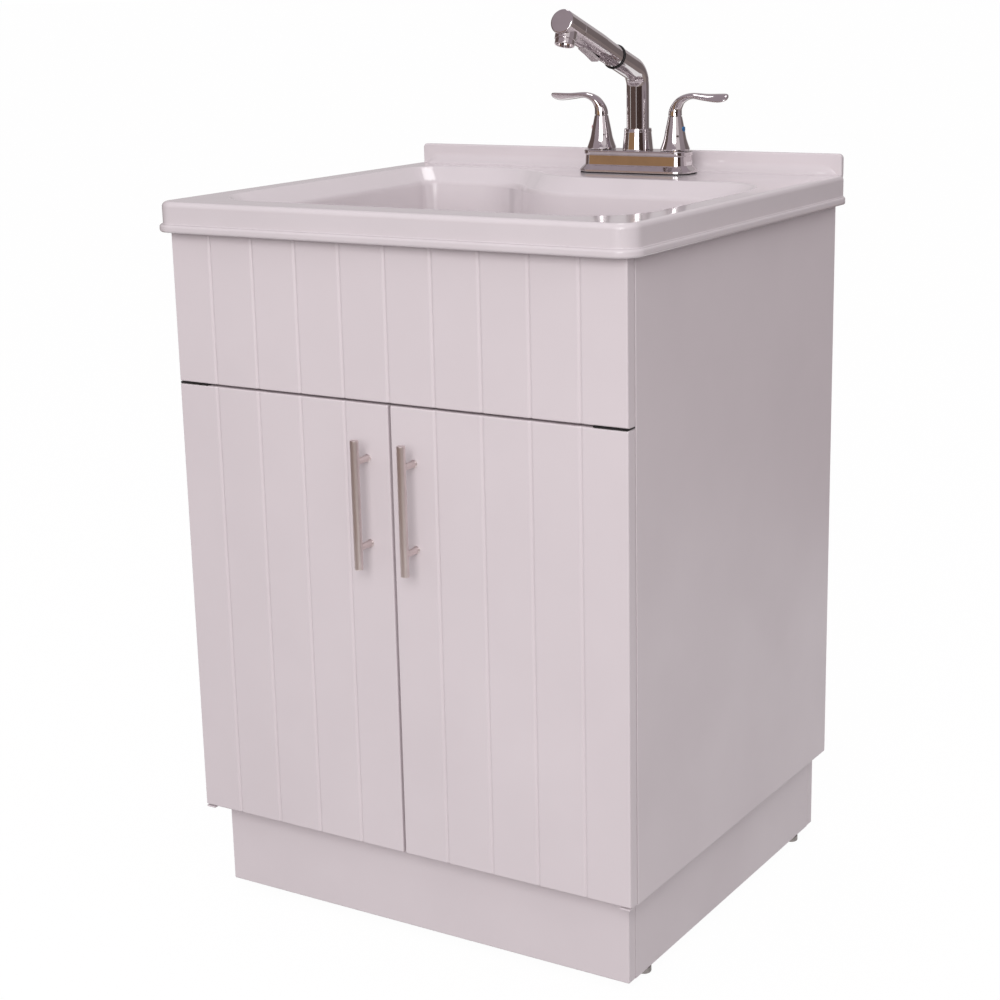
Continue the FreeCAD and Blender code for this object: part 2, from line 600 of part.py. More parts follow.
def build_tap_body():
    """Stepped base on its gasket, shanks with nuts below the deck, valves and spout collar above."""
    step, high = size("base_step"), size("base_height")
    lip = high - size("base_lip")
    base = rounded_plate(0, 0, size("base_flange")).fuse([
        rounded_plate(step / 2, 0, size("base_tread")), rounded_plate(step, 0, lip),
        rounded_plate(step - size("lip_proud"), lip, high)])
    node("tap_base", formed(base.removeSplitter(), (TAP_AT[0], TAP_AT[1], f"{RIM_TOP} + tap_gasket")))
    gasket = rounded_plate(size("edge_ease"), 0, size("tap_gasket"))
    centres, shanks, nuts, valves = size("tap_centres"), [], [], []
    for share in TAP_HOLES:
        gasket = gasket.cut(Part.makeCylinder(size("shank_diameter") / 2 + size("free_gap"),
                                              size("tap_gasket"), Vector(share * centres, 0, 0)))
    node("tap_gasket", formed(gasket, TAP_AT))
    for sign in SIDES.values():
        x, y = f"tap_right + {sign} * tap_centres / 2", TAP_AT[1]
        foot, thread_top = f"{RIM_TOP} - shank_length", f"{RIM_TOP} - shank_length + supply_length"
        shanks.append(cut(
            joined(rod("supply_diameter", "shank_length", (x, y, foot)),
                   rod("shank_diameter", "shank_length - supply_length + tap_gasket", (x, y, thread_top))),
            rod("shank_bore", "shank_length + tap_gasket", (x, y, foot))))
        nuts.append(tube("tap_nut_diameter", "shank_diameter + 2 * running_gap", "tap_nut_height",
                         (x, y, f"{DECK_UNDERSIDE} - tap_nut_height")))
        valves.append(joined(rod("valve_diameter", "valve_height", (x, y, BASE_TOP)),
                             rod("stem_diameter", "valve_height + stem_length", (x, y, BASE_TOP))))
    node("tap_valves", group(*valves))
    node("tap_shanks", group(*shanks))
    node("tap_mounting_nuts", group(*nuts))
    bore, high = size("spout_diameter") / 2 + size("free_gap"), size("collar_height")
    foot, top = size("collar_base") / 2, size("collar_top") / 2
    step, ease = size("collar_step"), size("edge_ease")
    node("spout_collar", formed(turned([
        (bore, 0), (foot, 0), (foot, step), (top, 2 * step), (top, high - ease), (top - ease, high),
        (bore, high)]), (TAP_AT[0], TAP_AT[1], BASE_TOP)))


# An ellipse needs its second axis just under its first, so round sections are this much flattened
FLATTENED = 0.999


def build_handles():
    """Flared hubs with S-shaped levers that point outwards, and index buttons."""
    gap, high = size("free_gap"), size("hub_height")
    foot, neck = size("hub_diameter") / 2, size("neck_diameter") / 2
    waist = Vector(size("waist_diameter") / 2, 0, size("waist_height"))
    cave, stem = size("valve_diameter") / 2 + gap, size("stem_diameter") / 2 + gap
    cave_top = size("valve_height") + gap
    rim = Vector(foot, 0, gap + size("hub_edge"))
    flare = Part.BSplineCurve()
    flare.interpolate([rim, waist, Vector(neck, 0, high)])
    inside = [Vector(0, 0, high), Vector(0, 0, cave_top + size("stem_length")),
              Vector(stem, 0, cave_top + size("stem_length")), Vector(stem, 0, cave_top),
              Vector(cave, 0, cave_top), Vector(cave, 0, gap), Vector(foot, 0, gap), rim]
    hub = turned(Part.Wire([flare.toShape(), Part.makeLine(Vector(neck, 0, high), inside[0])]
                           + [Part.makeLine(*pair) for pair in zip(inside, inside[1:])]))

    reach, rise = size("lever_reach"), size("lever_rise")
    wide, thick = size("lever_width") / 2, size("lever_thick") / 2
    # Each section: share of the reach, rise and roll, slope in degrees, half width and half thickness
    sections = ((0, 0, 0, 90, neck, neck), (0.03, 0.42, 0, 72, 0.9 * neck, 0.84 * neck),
                (0.13, 0.8, 0, 44, 0.92 * wide, 1.6 * thick), (0.34, 1, 0.2, 3, 0.88 * wide, 1.25 * thick),
                (0.64, 0.92, 0.75, -7, 0.96 * wide, 1.05 * thick), (0.88, 0.9, 1, 4, wide, 0.9 * thick),
                (1, 0.97, 1, 12, 0.7 * wide, 0.5 * thick))
    for side, sign in SIDES.items():
        outlines = []
        for out, up, turned_by, slope, half_width, half_thick in sections:
            turn = math.radians(slope)
            middle = Vector(sign * out * reach, 0, high + up * rise)
            along = Vector(sign * math.cos(turn), 0, math.sin(turn))
            ring = Part.Ellipse(Vector(0, half_width, 0), Vector(half_thick * FLATTENED, 0, 0), Vector())
            wire = Part.Wire(ring.toShape())
            roll = Rotation(UP, turned_by * size("lever_roll"))
            wire.Placement = Placement(middle, Rotation(UP, along) * roll)
            outlines.append(wire)
        lever = Part.makeLoft(outlines, True)
        at = (f"tap_right + {sign} * tap_centres / 2", TAP_AT[1], BASE_TOP)
        button = Part.makeCylinder(size("index_diameter") / 2, foot, Vector(0, 0, waist.z),
                                   Vector(sign, 0, 0))
        proud = Part.makeCylinder(waist.x + size("index_proud"), high)
        core = Part.makeCylinder(waist.x - size("index_depth"), high)
        plug = button.common(proud).cut(core)
        node(f"{side}_tap_hub", formed(hub.cut(plug), at))
        node(f"{side}_tap_lever", formed(lever, at))
        node(f"{side}_index_button", formed(plug, at))


def build_spout():
    """Swivelling bent spout with its seal ring, and the pull-out spray head with toggle and outlet."""
    outer, rise = size("spout_diameter") / 2, math.radians(size("spout_rise"))
    bend, elbow, arm = Vector(0, 0, size("bend_height")), size("bend_radius"), size("arm_length")
    forward = Vector(0, -math.cos(rise), math.sin(rise))
    tangent = elbow * math.tan((math.pi / 2 - rise) / 2)
    foot, start, end = Vector(0, 0, size("free_gap")), bend - UP * tangent, bend + forward * tangent
    centre = start + Vector(0, -elbow, 0)
    middle = centre + (bend - centre).normalize() * elbow
    path = Part.Wire([Part.makeLine(foot, start), Part.Arc(start, middle, end).toShape(),
                      Part.makeLine(end, bend + forward * arm)])

    def pipe(radius):
        ring = Part.Wire(Part.makeCircle(radius, foot, UP))
        return path.makePipeShell([ring], True, False)

    at = (TAP_AT[0], TAP_AT[1], BASE_TOP)
    node("spout_tube", formed(pipe(outer).cut(pipe(outer - size("spout_wall"))), at))

    bend_at, tilt = (at[0], at[1], f"{BASE_TOP} + bend_height"), "90 - spout_rise"
    ring_end = arm + size("ring_thick")
    ring_outer = outer + size("ring_proud")
    node("spout_ring", formed(turned([
        (outer - size("spout_wall"), arm), (ring_outer, arm), (ring_outer, ring_end),
        (outer - size("spout_wall"), ring_end)]), bend_at, tilt))

    back, wide, neck = ring_end + size("free_gap"), size("head_diameter") / 2, size("head_neck") / 2
    tip, dock = back + size("head_length"), size("dock_diameter") / 2
    swell, cap = back + size("neck_length"), size("cap_round")
    head = turned([(0, back - size("dock_length")), (dock, back - size("dock_length")), (dock, back),
                   (neck, back), (neck, swell), (wide, swell + size("swell_length")),
                   (wide, tip - cap), (wide - cap, tip), (0, tip)])
    down = Vector(0, -1, 0)
    outlet, drop = size("aerator_diameter") / 2, size("aerator_drop")
    outlet_at = Vector(0, 0, tip - size("aerator_back"))
    head = head.fuse(Part.makeCylinder(outlet + size("outlet_wall"), wide + drop / 2, outlet_at, down))
    gap, half, pin = size("free_gap"), size("toggle_width") / 2, size("toggle_pin") / 2
    heel, length, thick = size("toggle_heel"), size("toggle_length"), size("toggle_thick")
    pin_at = Vector(0, -size("pin_radius"), tip - size("toggle_back"))
    axle_half = half + gap + size("pin_bite")
    axle = Part.makeCylinder(pin, 2 * axle_half, pin_at - ALONG_X * axle_half, ALONG_X)
    pocket = Part.makeBox(2 * (half + gap), wide, length + 2 * size("edge_ease"), Vector(
        -half - gap, -wide - size("pocket_radius"), pin_at.z + heel - length - size("edge_ease")))
    node("spray_head", formed(head.cut([pocket, axle]).removeSplitter(), bend_at, tilt))
    node("toggle_pin", formed(axle, bend_at, tilt))

    toggle = Part.makeBox(2 * half, thick, length, Vector(-half, -size("toggle_proud"), heel - length))
    toggle = toggle.makeFillet(thick / 4, toggle.Edges)
    lug = Part.makeCylinder(pin + size("lug_wall"), 2 * half, ALONG_X * -half, ALONG_X)
    toggle = toggle.fuse(lug)
    toggle.Placement = Placement(pin_at, Rotation(ALONG_X, -size("toggle_tilt")))
    hole = Part.makeCylinder(pin + size("running_gap"), 4 * half, pin_at - ALONG_X * 2 * half, ALONG_X)
    node("spray_toggle", formed(toggle.cut(hole), bend_at, tilt))

    mouth = Part.makeCylinder(outlet, drop, outlet_at + down * (wide + drop / 2), down)
    throat = Part.makeCylinder(outlet - size("aerator_wall"), drop, outlet_at + down * (wide + drop), down)
    node("aerator", formed(mouth.cut(throat), bend_at, tilt))


build_carcass()
build_fronts()
build_pulls()
build_pivots()
build_plinth()
build_sink()
build_drain()
build_tap_body()
build_handles()
build_spout()
doc.recompute()

for thing in doc.Objects:
    if "Invalid" in thing.State or "Error" in thing.State:
        raise RuntimeError(f"{thing.Label} failed: {thing.State}")
for name, thing in parts.items():
    if thing.Shape.isNull() or not thing.Shape.isValid() or not thing.Shape.Solids:
        raise RuntimeError(f"{name} has no valid solid")

os.makedirs("parts", exist_ok=True)
for name, thing in parts.items():
    thing.Shape.exportStep(f"parts/{name}.step")
    print(name, len(thing.Shape.Solids), round(thing.Shape.Volume))
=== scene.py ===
"""Looks of a laundry sink cabinet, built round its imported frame, in metres.

Film-wrapped grooved fronts, a moulded sink top with a stepped basin, and a chromed two-handle tap
with a pull-out spray head.
"""

import json
import logging
import math
from dataclasses import dataclass, field
from enum import Enum
from typing import Any, Callable, Sequence

import bmesh
import bpy
import numpy as np
from mathutils import Matrix, Vector


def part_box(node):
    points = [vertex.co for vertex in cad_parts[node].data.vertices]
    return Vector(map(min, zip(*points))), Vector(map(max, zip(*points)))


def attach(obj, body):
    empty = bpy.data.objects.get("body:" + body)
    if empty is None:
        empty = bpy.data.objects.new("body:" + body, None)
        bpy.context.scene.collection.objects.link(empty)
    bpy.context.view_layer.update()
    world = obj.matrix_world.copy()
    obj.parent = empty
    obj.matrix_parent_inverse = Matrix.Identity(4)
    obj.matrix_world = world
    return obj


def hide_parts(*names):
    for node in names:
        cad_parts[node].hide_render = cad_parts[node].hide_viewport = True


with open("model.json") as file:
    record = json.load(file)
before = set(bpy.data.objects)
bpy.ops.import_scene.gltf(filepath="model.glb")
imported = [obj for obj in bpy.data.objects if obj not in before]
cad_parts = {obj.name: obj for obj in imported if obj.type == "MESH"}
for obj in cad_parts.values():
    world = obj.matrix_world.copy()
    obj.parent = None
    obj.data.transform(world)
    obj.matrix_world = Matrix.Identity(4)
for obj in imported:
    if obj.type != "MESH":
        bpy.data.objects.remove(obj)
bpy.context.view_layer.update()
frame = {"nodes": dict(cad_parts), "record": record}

MM = 0.001
SHARPEST_BEND = math.radians(40)
WELD_GAP = 1e-3 * MM
LOFT_SPANS = 6
BEND_POINTS = 24
log = logging.getLogger("laundry_sink_cabinet")

Corner = tuple[float, ...]
Profile = Sequence[Corner]
Rings = list[np.ndarray]
Tree = bpy.types.NodeTree
Socket = bpy.types.NodeSocket


# Shapes
def rounded(corners: Profile, closed: bool = False, steps: int = 6) -> np.ndarray:
    """Round the corners of an outline with arcs.

    Args:
        corners: two coordinates and an optional radius for each corner.
        closed: whether the last corner joins the first.
        steps: how many spans each arc has.

    Returns:
        The points of the rounded outline, one row each.
    """
    points: list[np.ndarray] = []
    count = len(corners)
    for index, (x, y, *radius) in enumerate(corners):
        here = np.array((x, y), float)
        at_end = not closed and index in (0, count - 1)
        if at_end or not radius or radius[0] <= 0:
            points.append(here)
            continue
        before = np.array(corners[index - 1][:2], float) - here
        after = np.array(corners[(index + 1) % count][:2], float) - here
        before, after = before / np.linalg.norm(before), after / np.linalg.norm(after)
        half_angle = math.acos(max(-1.0, min(1.0, float(before @ after)))) / 2
        bisector = before + after
        centre = here + bisector / np.linalg.norm(bisector) * radius[0] / math.sin(half_angle)
        start = here + before * radius[0] / math.tan(half_angle) - centre
        end = here + after * radius[0] / math.tan(half_angle) - centre
        sweep = math.pi - 2 * half_angle
        for step in range(steps + 1):
            angle = sweep * step / steps
            swung = start * math.sin(sweep - angle) + end * math.sin(angle)
            points.append(centre + swung / math.sin(sweep))
    return np.array(points)


def rectangle(low: Sequence[float], high: Sequence[float], front: float, back: float,
              steps: int) -> np.ndarray:
    """Draw a rectangle between two corners, with one radius at its front and another at its back."""
    (left, near), (right, far) = low, high
    return rounded(((left, near, front), (right, near, front), (right, far, back), (left, far, back)),
                   closed=True, steps=steps)


def in_mm(rows: Profile) -> list[Corner]:
    """Give rows of millimetres in metres."""
    return [tuple(value * MM for value in row) for row in rows]


def smoothed(knots: Profile, spans: int) -> np.ndarray:
    """Lay a smooth curve through rows of numbers.

    Args:
        knots: the rows that the curve passes through.
        spans: how many spans lie between two rows.

    Returns:
        The rows of the curve.
    """
    rows = np.array(knots, float)
    padded = np.vstack((2 * rows[0] - rows[1], rows, 2 * rows[-1] - rows[-2]))
    curve = []
    for index in range(1, len(padded) - 2):
        a, b, c, d = padded[index - 1:index + 3]
        for step in range(spans):
            t = step / spans
            curve.append(b + (c - a) * t / 2 + (a - 2.5 * b + 2 * c - d / 2) * t ** 2
                         + (1.5 * (b - c) + (d - a) / 2) * t ** 3)
    return np.vstack((curve, rows[-1]))


def spaced(outline: np.ndarray, gap: float) -> np.ndarray:
    """Space points evenly along a closed outline, keeping its corners.

    Args:
        outline: the points of the outline.
        gap: the widest gap between two points.

    Returns:
        The points of the spaced outline.
    """
    points = []
    for start, end in zip(outline, np.roll(outline, -1, axis=0)):
        count = max(1, math.ceil(float(np.linalg.norm(end - start)) / gap))
        points.extend(start + (end - start) * step / count for step in range(count))
    return np.array(points)


def level(outline: np.ndarray, height: float) -> np.ndarray:
    """Lift a flat outline to a height."""
    return np.column_stack((outline, np.full(len(outline), height)))


def turned(profile: np.ndarray, place: Matrix, segments: int = 64) -> Rings:
    """Turn a profile about the Z axis of a place.

    Args:
        profile: rows of radius and height.
        place: where the axis lies.
        segments: how many points go round.

    Returns:
        One ring for each row of the profile.
    """
    angles = np.arange(segments) * 2 * math.pi / segments
    circle = np.column_stack((np.cos(angles), np.sin(angles)))
    return [moved(level(circle * radius, height), place) for radius, height in profile]


def moved(points: np.ndarray, place: Matrix) -> np.ndarray:
    """Carry points into a place."""
    matrix = np.array(place)
    return points @ matrix[:3, :3].T + matrix[:3, 3]


@dataclass
class Mesh:
    """Vertices and faces that one piece is gathered in."""

    vertices: list[Corner] = field(default_factory=list)
    faces: list[list[int]] = field(default_factory=list)

    def skin(self, rings: Rings, looped: bool = False) -> "Mesh":
        """Stretch a skin over rings with as many points each.

        Args:
            rings: the rings, in order.
            looped: whether the last ring joins the first; otherwise both ends are closed by a face.

        Returns:
            The mesh itself.
        """
        first, around = len(self.vertices), len(rings[0])
        for ring in rings:
            self.vertices.extend(map(tuple, ring.tolist()))
        for row in range(len(rings) if looped else len(rings) - 1):
            low, high = first + row * around, first + (row + 1) % len(rings) * around
            for index in range(around):
                after = (index + 1) % around
                self.faces.append([low + index, low + after, high + after, high + index])
        if not looped:
            last = first + (len(rings) - 1) * around
            self.faces.append([first + index for index in reversed(range(around))])
            self.faces.append([last + index for index in range(around)])
        return self

    def piece(self, name: str, slot: "Slot", body: str, *replaced: str) -> None:
        """Make an object of the mesh, dress it and let it ride on a body.

        Args:
            name: the piece's name.
            slot: the finish that it wears.
            body: the body that it moves with.
            replaced: the frame's nodes that it stands for.
        """
        data = bpy.data.meshes.new(name)
        data.from_pydata(self.vertices, [], self.faces)
        shaped = bmesh.new()
        shaped.from_mesh(data)
        bmesh.ops.remove_doubles(shaped, verts=shaped.verts, dist=WELD_GAP)
        bmesh.ops.recalc_face_normals(shaped, faces=shaped.faces)
        shaped.to_mesh(data)
        shaped.free()
        data.shade_smooth()
        data.set_sharp_from_angle(angle=SHARPEST_BEND)
        data.materials.append(FINISHES[slot].material())
        made = bpy.data.objects.new(name, data)
        bpy.context.scene.collection.objects.link(made)
        made.modifiers.new("even shading", "WEIGHTED_NORMAL").keep_sharp = True
        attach(made, body)
        if replaced:
            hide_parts(*replaced)
        log.info("%s on %s, %d faces", name, body, len(data.polygons))


# Finishes
class Slot(Enum):
    """The record's finishes."""

    FILM_BOARD = "white_film_board"
    PINE = "pine"
    SATIN_STEEL = "satin_steel"
    ZINC_STEEL = "zinc_steel"
    BLACK_STEEL = "black_steel"
    NYLON = "nylon"
    WHITE_PLASTIC = "white_plastic"
    GREY_PLASTIC = "grey_plastic"
    SINK = "moulded_sink"
    STAINLESS = "stainless"
    RUBBER = "black_rubber"
    PIPE = "white_pipe"
    CHROME = "chrome"
    BRASS = "brass"
    RED_BUTTON = "red_button"
    BLUE_BUTTON = "blue_button"
    AERATOR = "aerator_plastic"


class Brush(Enum):
    """How the fine lines of a worked metal run: how far apart in x, y and z, in millimetres."""

    UPRIGHT = (0.35, 0.35, 60.0)
    CROSSWAYS = (60.0, 60.0, 0.35)


def linear(colour: str) -> tuple[float, float, float, float]:
    """Turn an sRGB hex colour into linear red, green, blue and alpha."""
    channels = [int(colour[start:start + 2], 16) / 255 for start in (1, 3, 5)]
    return *(c / 12.92 if c <= 0.04045 else ((c + 0.055) / 1.055) ** 2.4 for c in channels), 1.0


def add(tree: Tree, kind: str, inputs: dict[str | int, Any] | None = None,
        **settings: Any) -> bpy.types.Node:
    """Add a node with its settings and links.

    Args:
        tree: the tree that it joins.
        kind: the node's type.
        inputs: a value or another node's output for each named or numbered input.
        settings: the node's own properties.

    Returns:
        The node.
    """
    node = tree.nodes.new(kind)
    for name, value in settings.items():
        setattr(node, name, value)
    for name, value in (inputs or {}).items():
        if isinstance(value, Socket):
            tree.links.new(value, node.inputs[name])
        else:
            node.inputs[name].default_value = value
    return node


def bare_tree(owner: bpy.types.Material | bpy.types.World) -> Tree:
    """Empty the node tree of a new material or world.

    Args:
        owner: the material or world.

    Returns:
        Its tree.
    """
    owner.use_nodes = True
    owner.node_tree.nodes.clear()
    return owner.node_tree


@dataclass(frozen=True)
class Finish:
    """A surface whose colour and gloss vary over soft patches, with a fine relief of some depth."""

    name: str
    colour: str
    shade: str
    roughness: tuple[float, float]
    patch_mm: float
    relief_mm: float
    depth_mm: float
    metallic: float = 0.0
    specular: float = 0.5
    coat: float = 0.0
    anisotropic: float = 0.0

    def material(self) -> bpy.types.Material:
        """Make the material of this finish, once.

        Returns:
            The material.
        """
        found = bpy.data.materials.get(self.name)
        if found:
            return found
        made = bpy.data.materials.new(self.name)
        tree = bare_tree(made)
        place = add(tree, "ShaderNodeTexCoord").outputs["Object"]
        patches = self.patches(tree, place)
        low, high = self.roughness
        colour = add(tree, "ShaderNodeMix", {0: patches, 6: linear(self.colour), 7: linear(self.shade)},
                     data_type="RGBA")
        gloss = add(tree, "ShaderNodeMapRange", {"Value": patches, "To Min": low, "To Max": high})
        bump = add(tree, "ShaderNodeBump", {
            "Strength": 1.0, "Distance": self.depth_mm * MM, "Height": self.relief(tree, place)})
        shader = add(tree, "ShaderNodeBsdfPrincipled", {
            "Base Color": colour.outputs[2], "Roughness": gloss.outputs[0], "Normal": bump.outputs[0],
            "Metallic": self.metallic, "Specular IOR Level": self.specular, "Coat Weight": self.coat,
            "Coat Roughness": 0.04, "Anisotropic": self.anisotropic})
        add(tree, "ShaderNodeOutputMaterial", {"Surface": shader.outputs[0]})
        return made

    def patches(self, tree: Tree, place: Socket) -> Socket:
        """Draw the soft patches in which colour and gloss vary."""
        noise = add(tree, "ShaderNodeTexNoise", {
            "Vector": place, "Scale": 1 / (self.patch_mm * MM), "Detail": 3.0, "Roughness": 0.55})
        return add(tree, "ShaderNodeMapRange", {
            "Value": noise.outputs[0], "From Min": 0.3, "From Max": 0.7}).outputs[0]

    def relief(self, tree: Tree, place: Socket) -> Socket:
        """Draw the fine relief of the surface."""
        return add(tree, "ShaderNodeTexNoise", {
            "Vector": place, "Scale": 1 / (self.relief_mm * MM), "Detail": 2.0}).outputs[0]


@dataclass(frozen=True)
class BrushedFinish(Finish):
    """A metal whose fine lines all run one way."""

    brush: Brush = Brush.UPRIGHT

    def relief(self, tree: Tree, place: Socket) -> Socket:
        """Draw the brushed lines."""
        lines = add(tree, "ShaderNodeMapping", {
            "Vector": place, "Scale": [1 / (gap * MM) for gap in self.brush.value]})
        return add(tree, "ShaderNodeTexNoise", {
            "Vector": lines.outputs[0], "Scale": 1.0, "Detail": 2.0}).outputs[0]


@dataclass(frozen=True)
class WoodFinish(Finish):
    """Sawn wood with upright grain, whose growth rings are 2 pi times patch_mm apart."""

    def patches(self, tree: Tree, place: Socket) -> Socket:
        """Draw the growth rings as wavering bands."""
        # The wave node draws a band in each 2 pi / 20 of its scaled unit
        bands = add(tree, "ShaderNodeTexWave", {
            "Vector": place, "Scale": 1 / (20 * self.patch_mm * MM), "Distortion": 4.0, "Detail": 3.0,
            "Detail Scale": 1.5}, bands_direction="X")
        return bands.outputs["Fac"]


@dataclass(frozen=True)
class SplitFinish(Finish):
    """Two colours on fittings of one kind: the first above a height, the shade colour on those that sit
    below it.
    """

    split_mm: float = 300.0

    def patches(self, tree: Tree, place: Socket) -> Socket:
        """Tell the fittings below the split from those above it."""
        height = add(tree, "ShaderNodeSeparateXYZ", {0: place}).outputs["Z"]
        return add(tree, "ShaderNodeMath", {0: height, 1: self.split_mm * MM},
                   operation="LESS_THAN").outputs[0]


FINISHES: dict[Slot, Finish] = {
    # Vinyl film drawn over fibreboard: a soft sheen, with a faint orange peel from the board below
    Slot.FILM_BOARD: Finish(
        "vinyl_film_on_fibreboard", "#DDD3D6", "#D9CFD2", (0.36, 0.44),
        patch_mm=160, relief_mm=3.0, depth_mm=0.015, specular=0.4),
    # Sawn pine: warm bands of growth rings and a dull, slightly furry face
    Slot.PINE: WoodFinish(
        "sawn_pine", "#D9B98A", "#C09A66", (0.6, 0.75), patch_mm=9, relief_mm=1.2, depth_mm=0.1),
    # Steel bar with a satin nickel finish: long soft highlights drawn out along the brushing
    Slot.SATIN_STEEL: BrushedFinish(
        "satin_nickel_on_steel", "#E0D5D3", "#D4C8C6", (0.3, 0.4),
        patch_mm=30, relief_mm=0.4, depth_mm=0.002, metallic=1.0, anisotropic=0.4,
        brush=Brush.UPRIGHT),
    # Pressed steel with bright zinc: a cool grey with cloudy patches
    Slot.ZINC_STEEL: Finish(
        "zinc_plated_steel", "#948E8C", "#7E7876", (0.3, 0.46),
        patch_mm=6, relief_mm=0.8, depth_mm=0.01, metallic=1.0),
    # Pressed steel: black on the plates in the gaps above the doors, as painted shade that keeps those gaps
    # dark; white on the plates below
    Slot.BLACK_STEEL: SplitFinish(
        "black_gap_shade_and_white_steel", "#1E1C1D", "#DBD1D4", (0.42, 0.5),
        patch_mm=8, relief_mm=0.9, depth_mm=0.01),
    # Moulded nylon: milky and a little waxy
    Slot.NYLON: Finish(
        "moulded_nylon", "#E6E1D6", "#DDD7CA", (0.38, 0.5), patch_mm=8, relief_mm=0.6, depth_mm=0.01),
    # Moulded ABS with a spark-eroded grain
    Slot.WHITE_PLASTIC: Finish(
        "grained_white_abs", "#E4E0DF", "#DAD6D5", (0.4, 0.52), patch_mm=14, relief_mm=0.7, depth_mm=0.02),
    # Moulded pale grey plastic of the spray toggle, satin with a fine grain
    Slot.GREY_PLASTIC: Finish(
        "satin_grey_plastic", "#CFC6C7", "#C4BBBC", (0.32, 0.46),
        patch_mm=10, relief_mm=0.6, depth_mm=0.015),
    # Glossy moulded acrylic: a hard wet shine over very long, low ripples from the mould
    Slot.SINK: Finish(
        "glossy_moulded_acrylic", "#DBD2D5", "#D7CED1", (0.1, 0.16),
        patch_mm=120, relief_mm=55.0, depth_mm=0.05, coat=0.25),
    # Drawn stainless steel, brushed crossways by its turning
    Slot.STAINLESS: BrushedFinish(
        "turned_stainless_steel", "#C7C6C4", "#B5B4B2", (0.2, 0.32),
        patch_mm=12, relief_mm=0.4, depth_mm=0.006, metallic=1.0, brush=Brush.CROSSWAYS),
    # Moulded rubber: dull black that greys where it has been handled
    Slot.RUBBER: Finish(
        "moulded_black_rubber", "#1D1B1C", "#2A2728", (0.55, 0.7),
        patch_mm=7, relief_mm=0.8, depth_mm=0.02, specular=0.35),
    # Extruded polypropylene pipe: chalky white with faint draw marks
    Slot.PIPE: BrushedFinish(
        "extruded_polypropylene", "#E3E1DD", "#D8D6D1", (0.36, 0.46),
        patch_mm=25, relief_mm=0.5, depth_mm=0.01, brush=Brush.UPRIGHT),
    # Chromium over polished zinc casting: a mirror with slight smears and a barely wavy skin
    Slot.CHROME: Finish(
        "polished_chromium_plate", "#DCD7D8", "#D2CDCE", (0.03, 0.08),
        patch_mm=18, relief_mm=22.0, depth_mm=0.008, metallic=1.0),
    # Turned brass, left plain below the deck
    Slot.BRASS: BrushedFinish(
        "turned_brass", "#C9A860", "#B8964E", (0.24, 0.36),
        patch_mm=9, relief_mm=0.4, depth_mm=0.008, metallic=1.0, brush=Brush.CROSSWAYS),
    # Enamelled index buttons, glossy and a little uneven
    Slot.RED_BUTTON: Finish(
        "red_enamel", "#B0202B", "#98151F", (0.12, 0.22),
        patch_mm=3, relief_mm=2.0, depth_mm=0.02, coat=0.6),
    Slot.BLUE_BUTTON: Finish(
        "blue_enamel", "#1C6FA8", "#155A8C", (0.12, 0.22),
        patch_mm=3, relief_mm=2.0, depth_mm=0.02, coat=0.6),
    # Acetal of the outlet's insert: pale grey, waxy
    Slot.AERATOR: Finish(
        "acetal_insert", "#B5B1B0", "#A4A09F", (0.3, 0.42), patch_mm=4, relief_mm=0.5, depth_mm=0.01),
}


# Sub-assemblies
@dataclass
class Board:
    """A film-faced board whose edges are eased by their edge band."""

    node: str
    ease: float = 1.4 * MM

    def build(self) -> None:
        """Build the board in the place of its node."""
        low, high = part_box(self.node)
        along = max(range(3), key=lambda axis: high[axis] - low[axis])
        across = [(along + 1) % 3, (along + 2) % 3]
        edge = rounded(((self.ease, 0), (0, 0, self.ease), (0, self.ease)), steps=4)
        ends = [(inset, low[along] + out) for inset, out in edge]
        ends += [(inset, high[along] - out) for inset, out in reversed(edge)]
        rings = []
        for inset, station in ends:
            outline = rectangle([low[axis] + inset for axis in across],
                                [high[axis] - inset for axis in across], self.ease, self.ease, steps=3)
            ring = np.zeros((len(outline), 3))
            ring[:, across] = outline
            ring[:, along] = station
            rings.append(ring)
        Mesh().skin(rings).piece(f"{self.node}_board", Slot.FILM_BOARD, "cabinet", self.node)


@dataclass
class GroovedFront:
    """A film-wrapped slab with upright grooves between its planks."""

    node: str
    body: str
    plank_pitch: float = 59.1 * MM
    groove_width: float = 5.4 * MM
    groove_depth: float = 1.5 * MM
    shoulder_round: float = 2.2 * MM
    bottom_round: float = 1.6 * MM
    edge_round: float = 1.8 * MM
    back_round: float = 0.6 * MM

    def build(self) -> None:
        """Build the slab in the place of its node."""
        low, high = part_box(self.node)
        thick = high.y - low.y
        margin = self.groove_width + self.edge_round
        corners = [(low.x, 0.0, self.edge_round)]
        first = math.ceil((low.x + margin) / self.plank_pitch)
        last = math.floor((high.x - margin) / self.plank_pitch)
        for number in range(first, last + 1):
            middle = number * self.plank_pitch
            corners += [(middle - self.groove_width / 2, 0.0, self.shoulder_round),
                        (middle, self.groove_depth, self.bottom_round),
                        (middle + self.groove_width / 2, 0.0, self.shoulder_round)]
        corners += [(high.x, 0.0, self.edge_round), (high.x, thick, self.back_round),
                    (low.x, thick, self.back_round)]
        outline = rounded(corners, closed=True, steps=5)
        edge = rounded(((0, self.edge_round), (0, 0, self.edge_round), (self.edge_round, 0)), steps=6)
        stations = [(low.z + up, back) for up, back in edge]
        stations += [(high.z - up, back) for up, back in reversed(edge)]
        rings = []
        for height, back in stations:
            depth = back + outline[:, 1] * (thick - back) / thick
            rings.append(np.column_stack((outline[:, 0], low.y + depth, np.full(len(outline), height))))
        Mesh().skin(rings).piece(f"{self.node}_slab", Slot.FILM_BOARD, self.body, self.node)


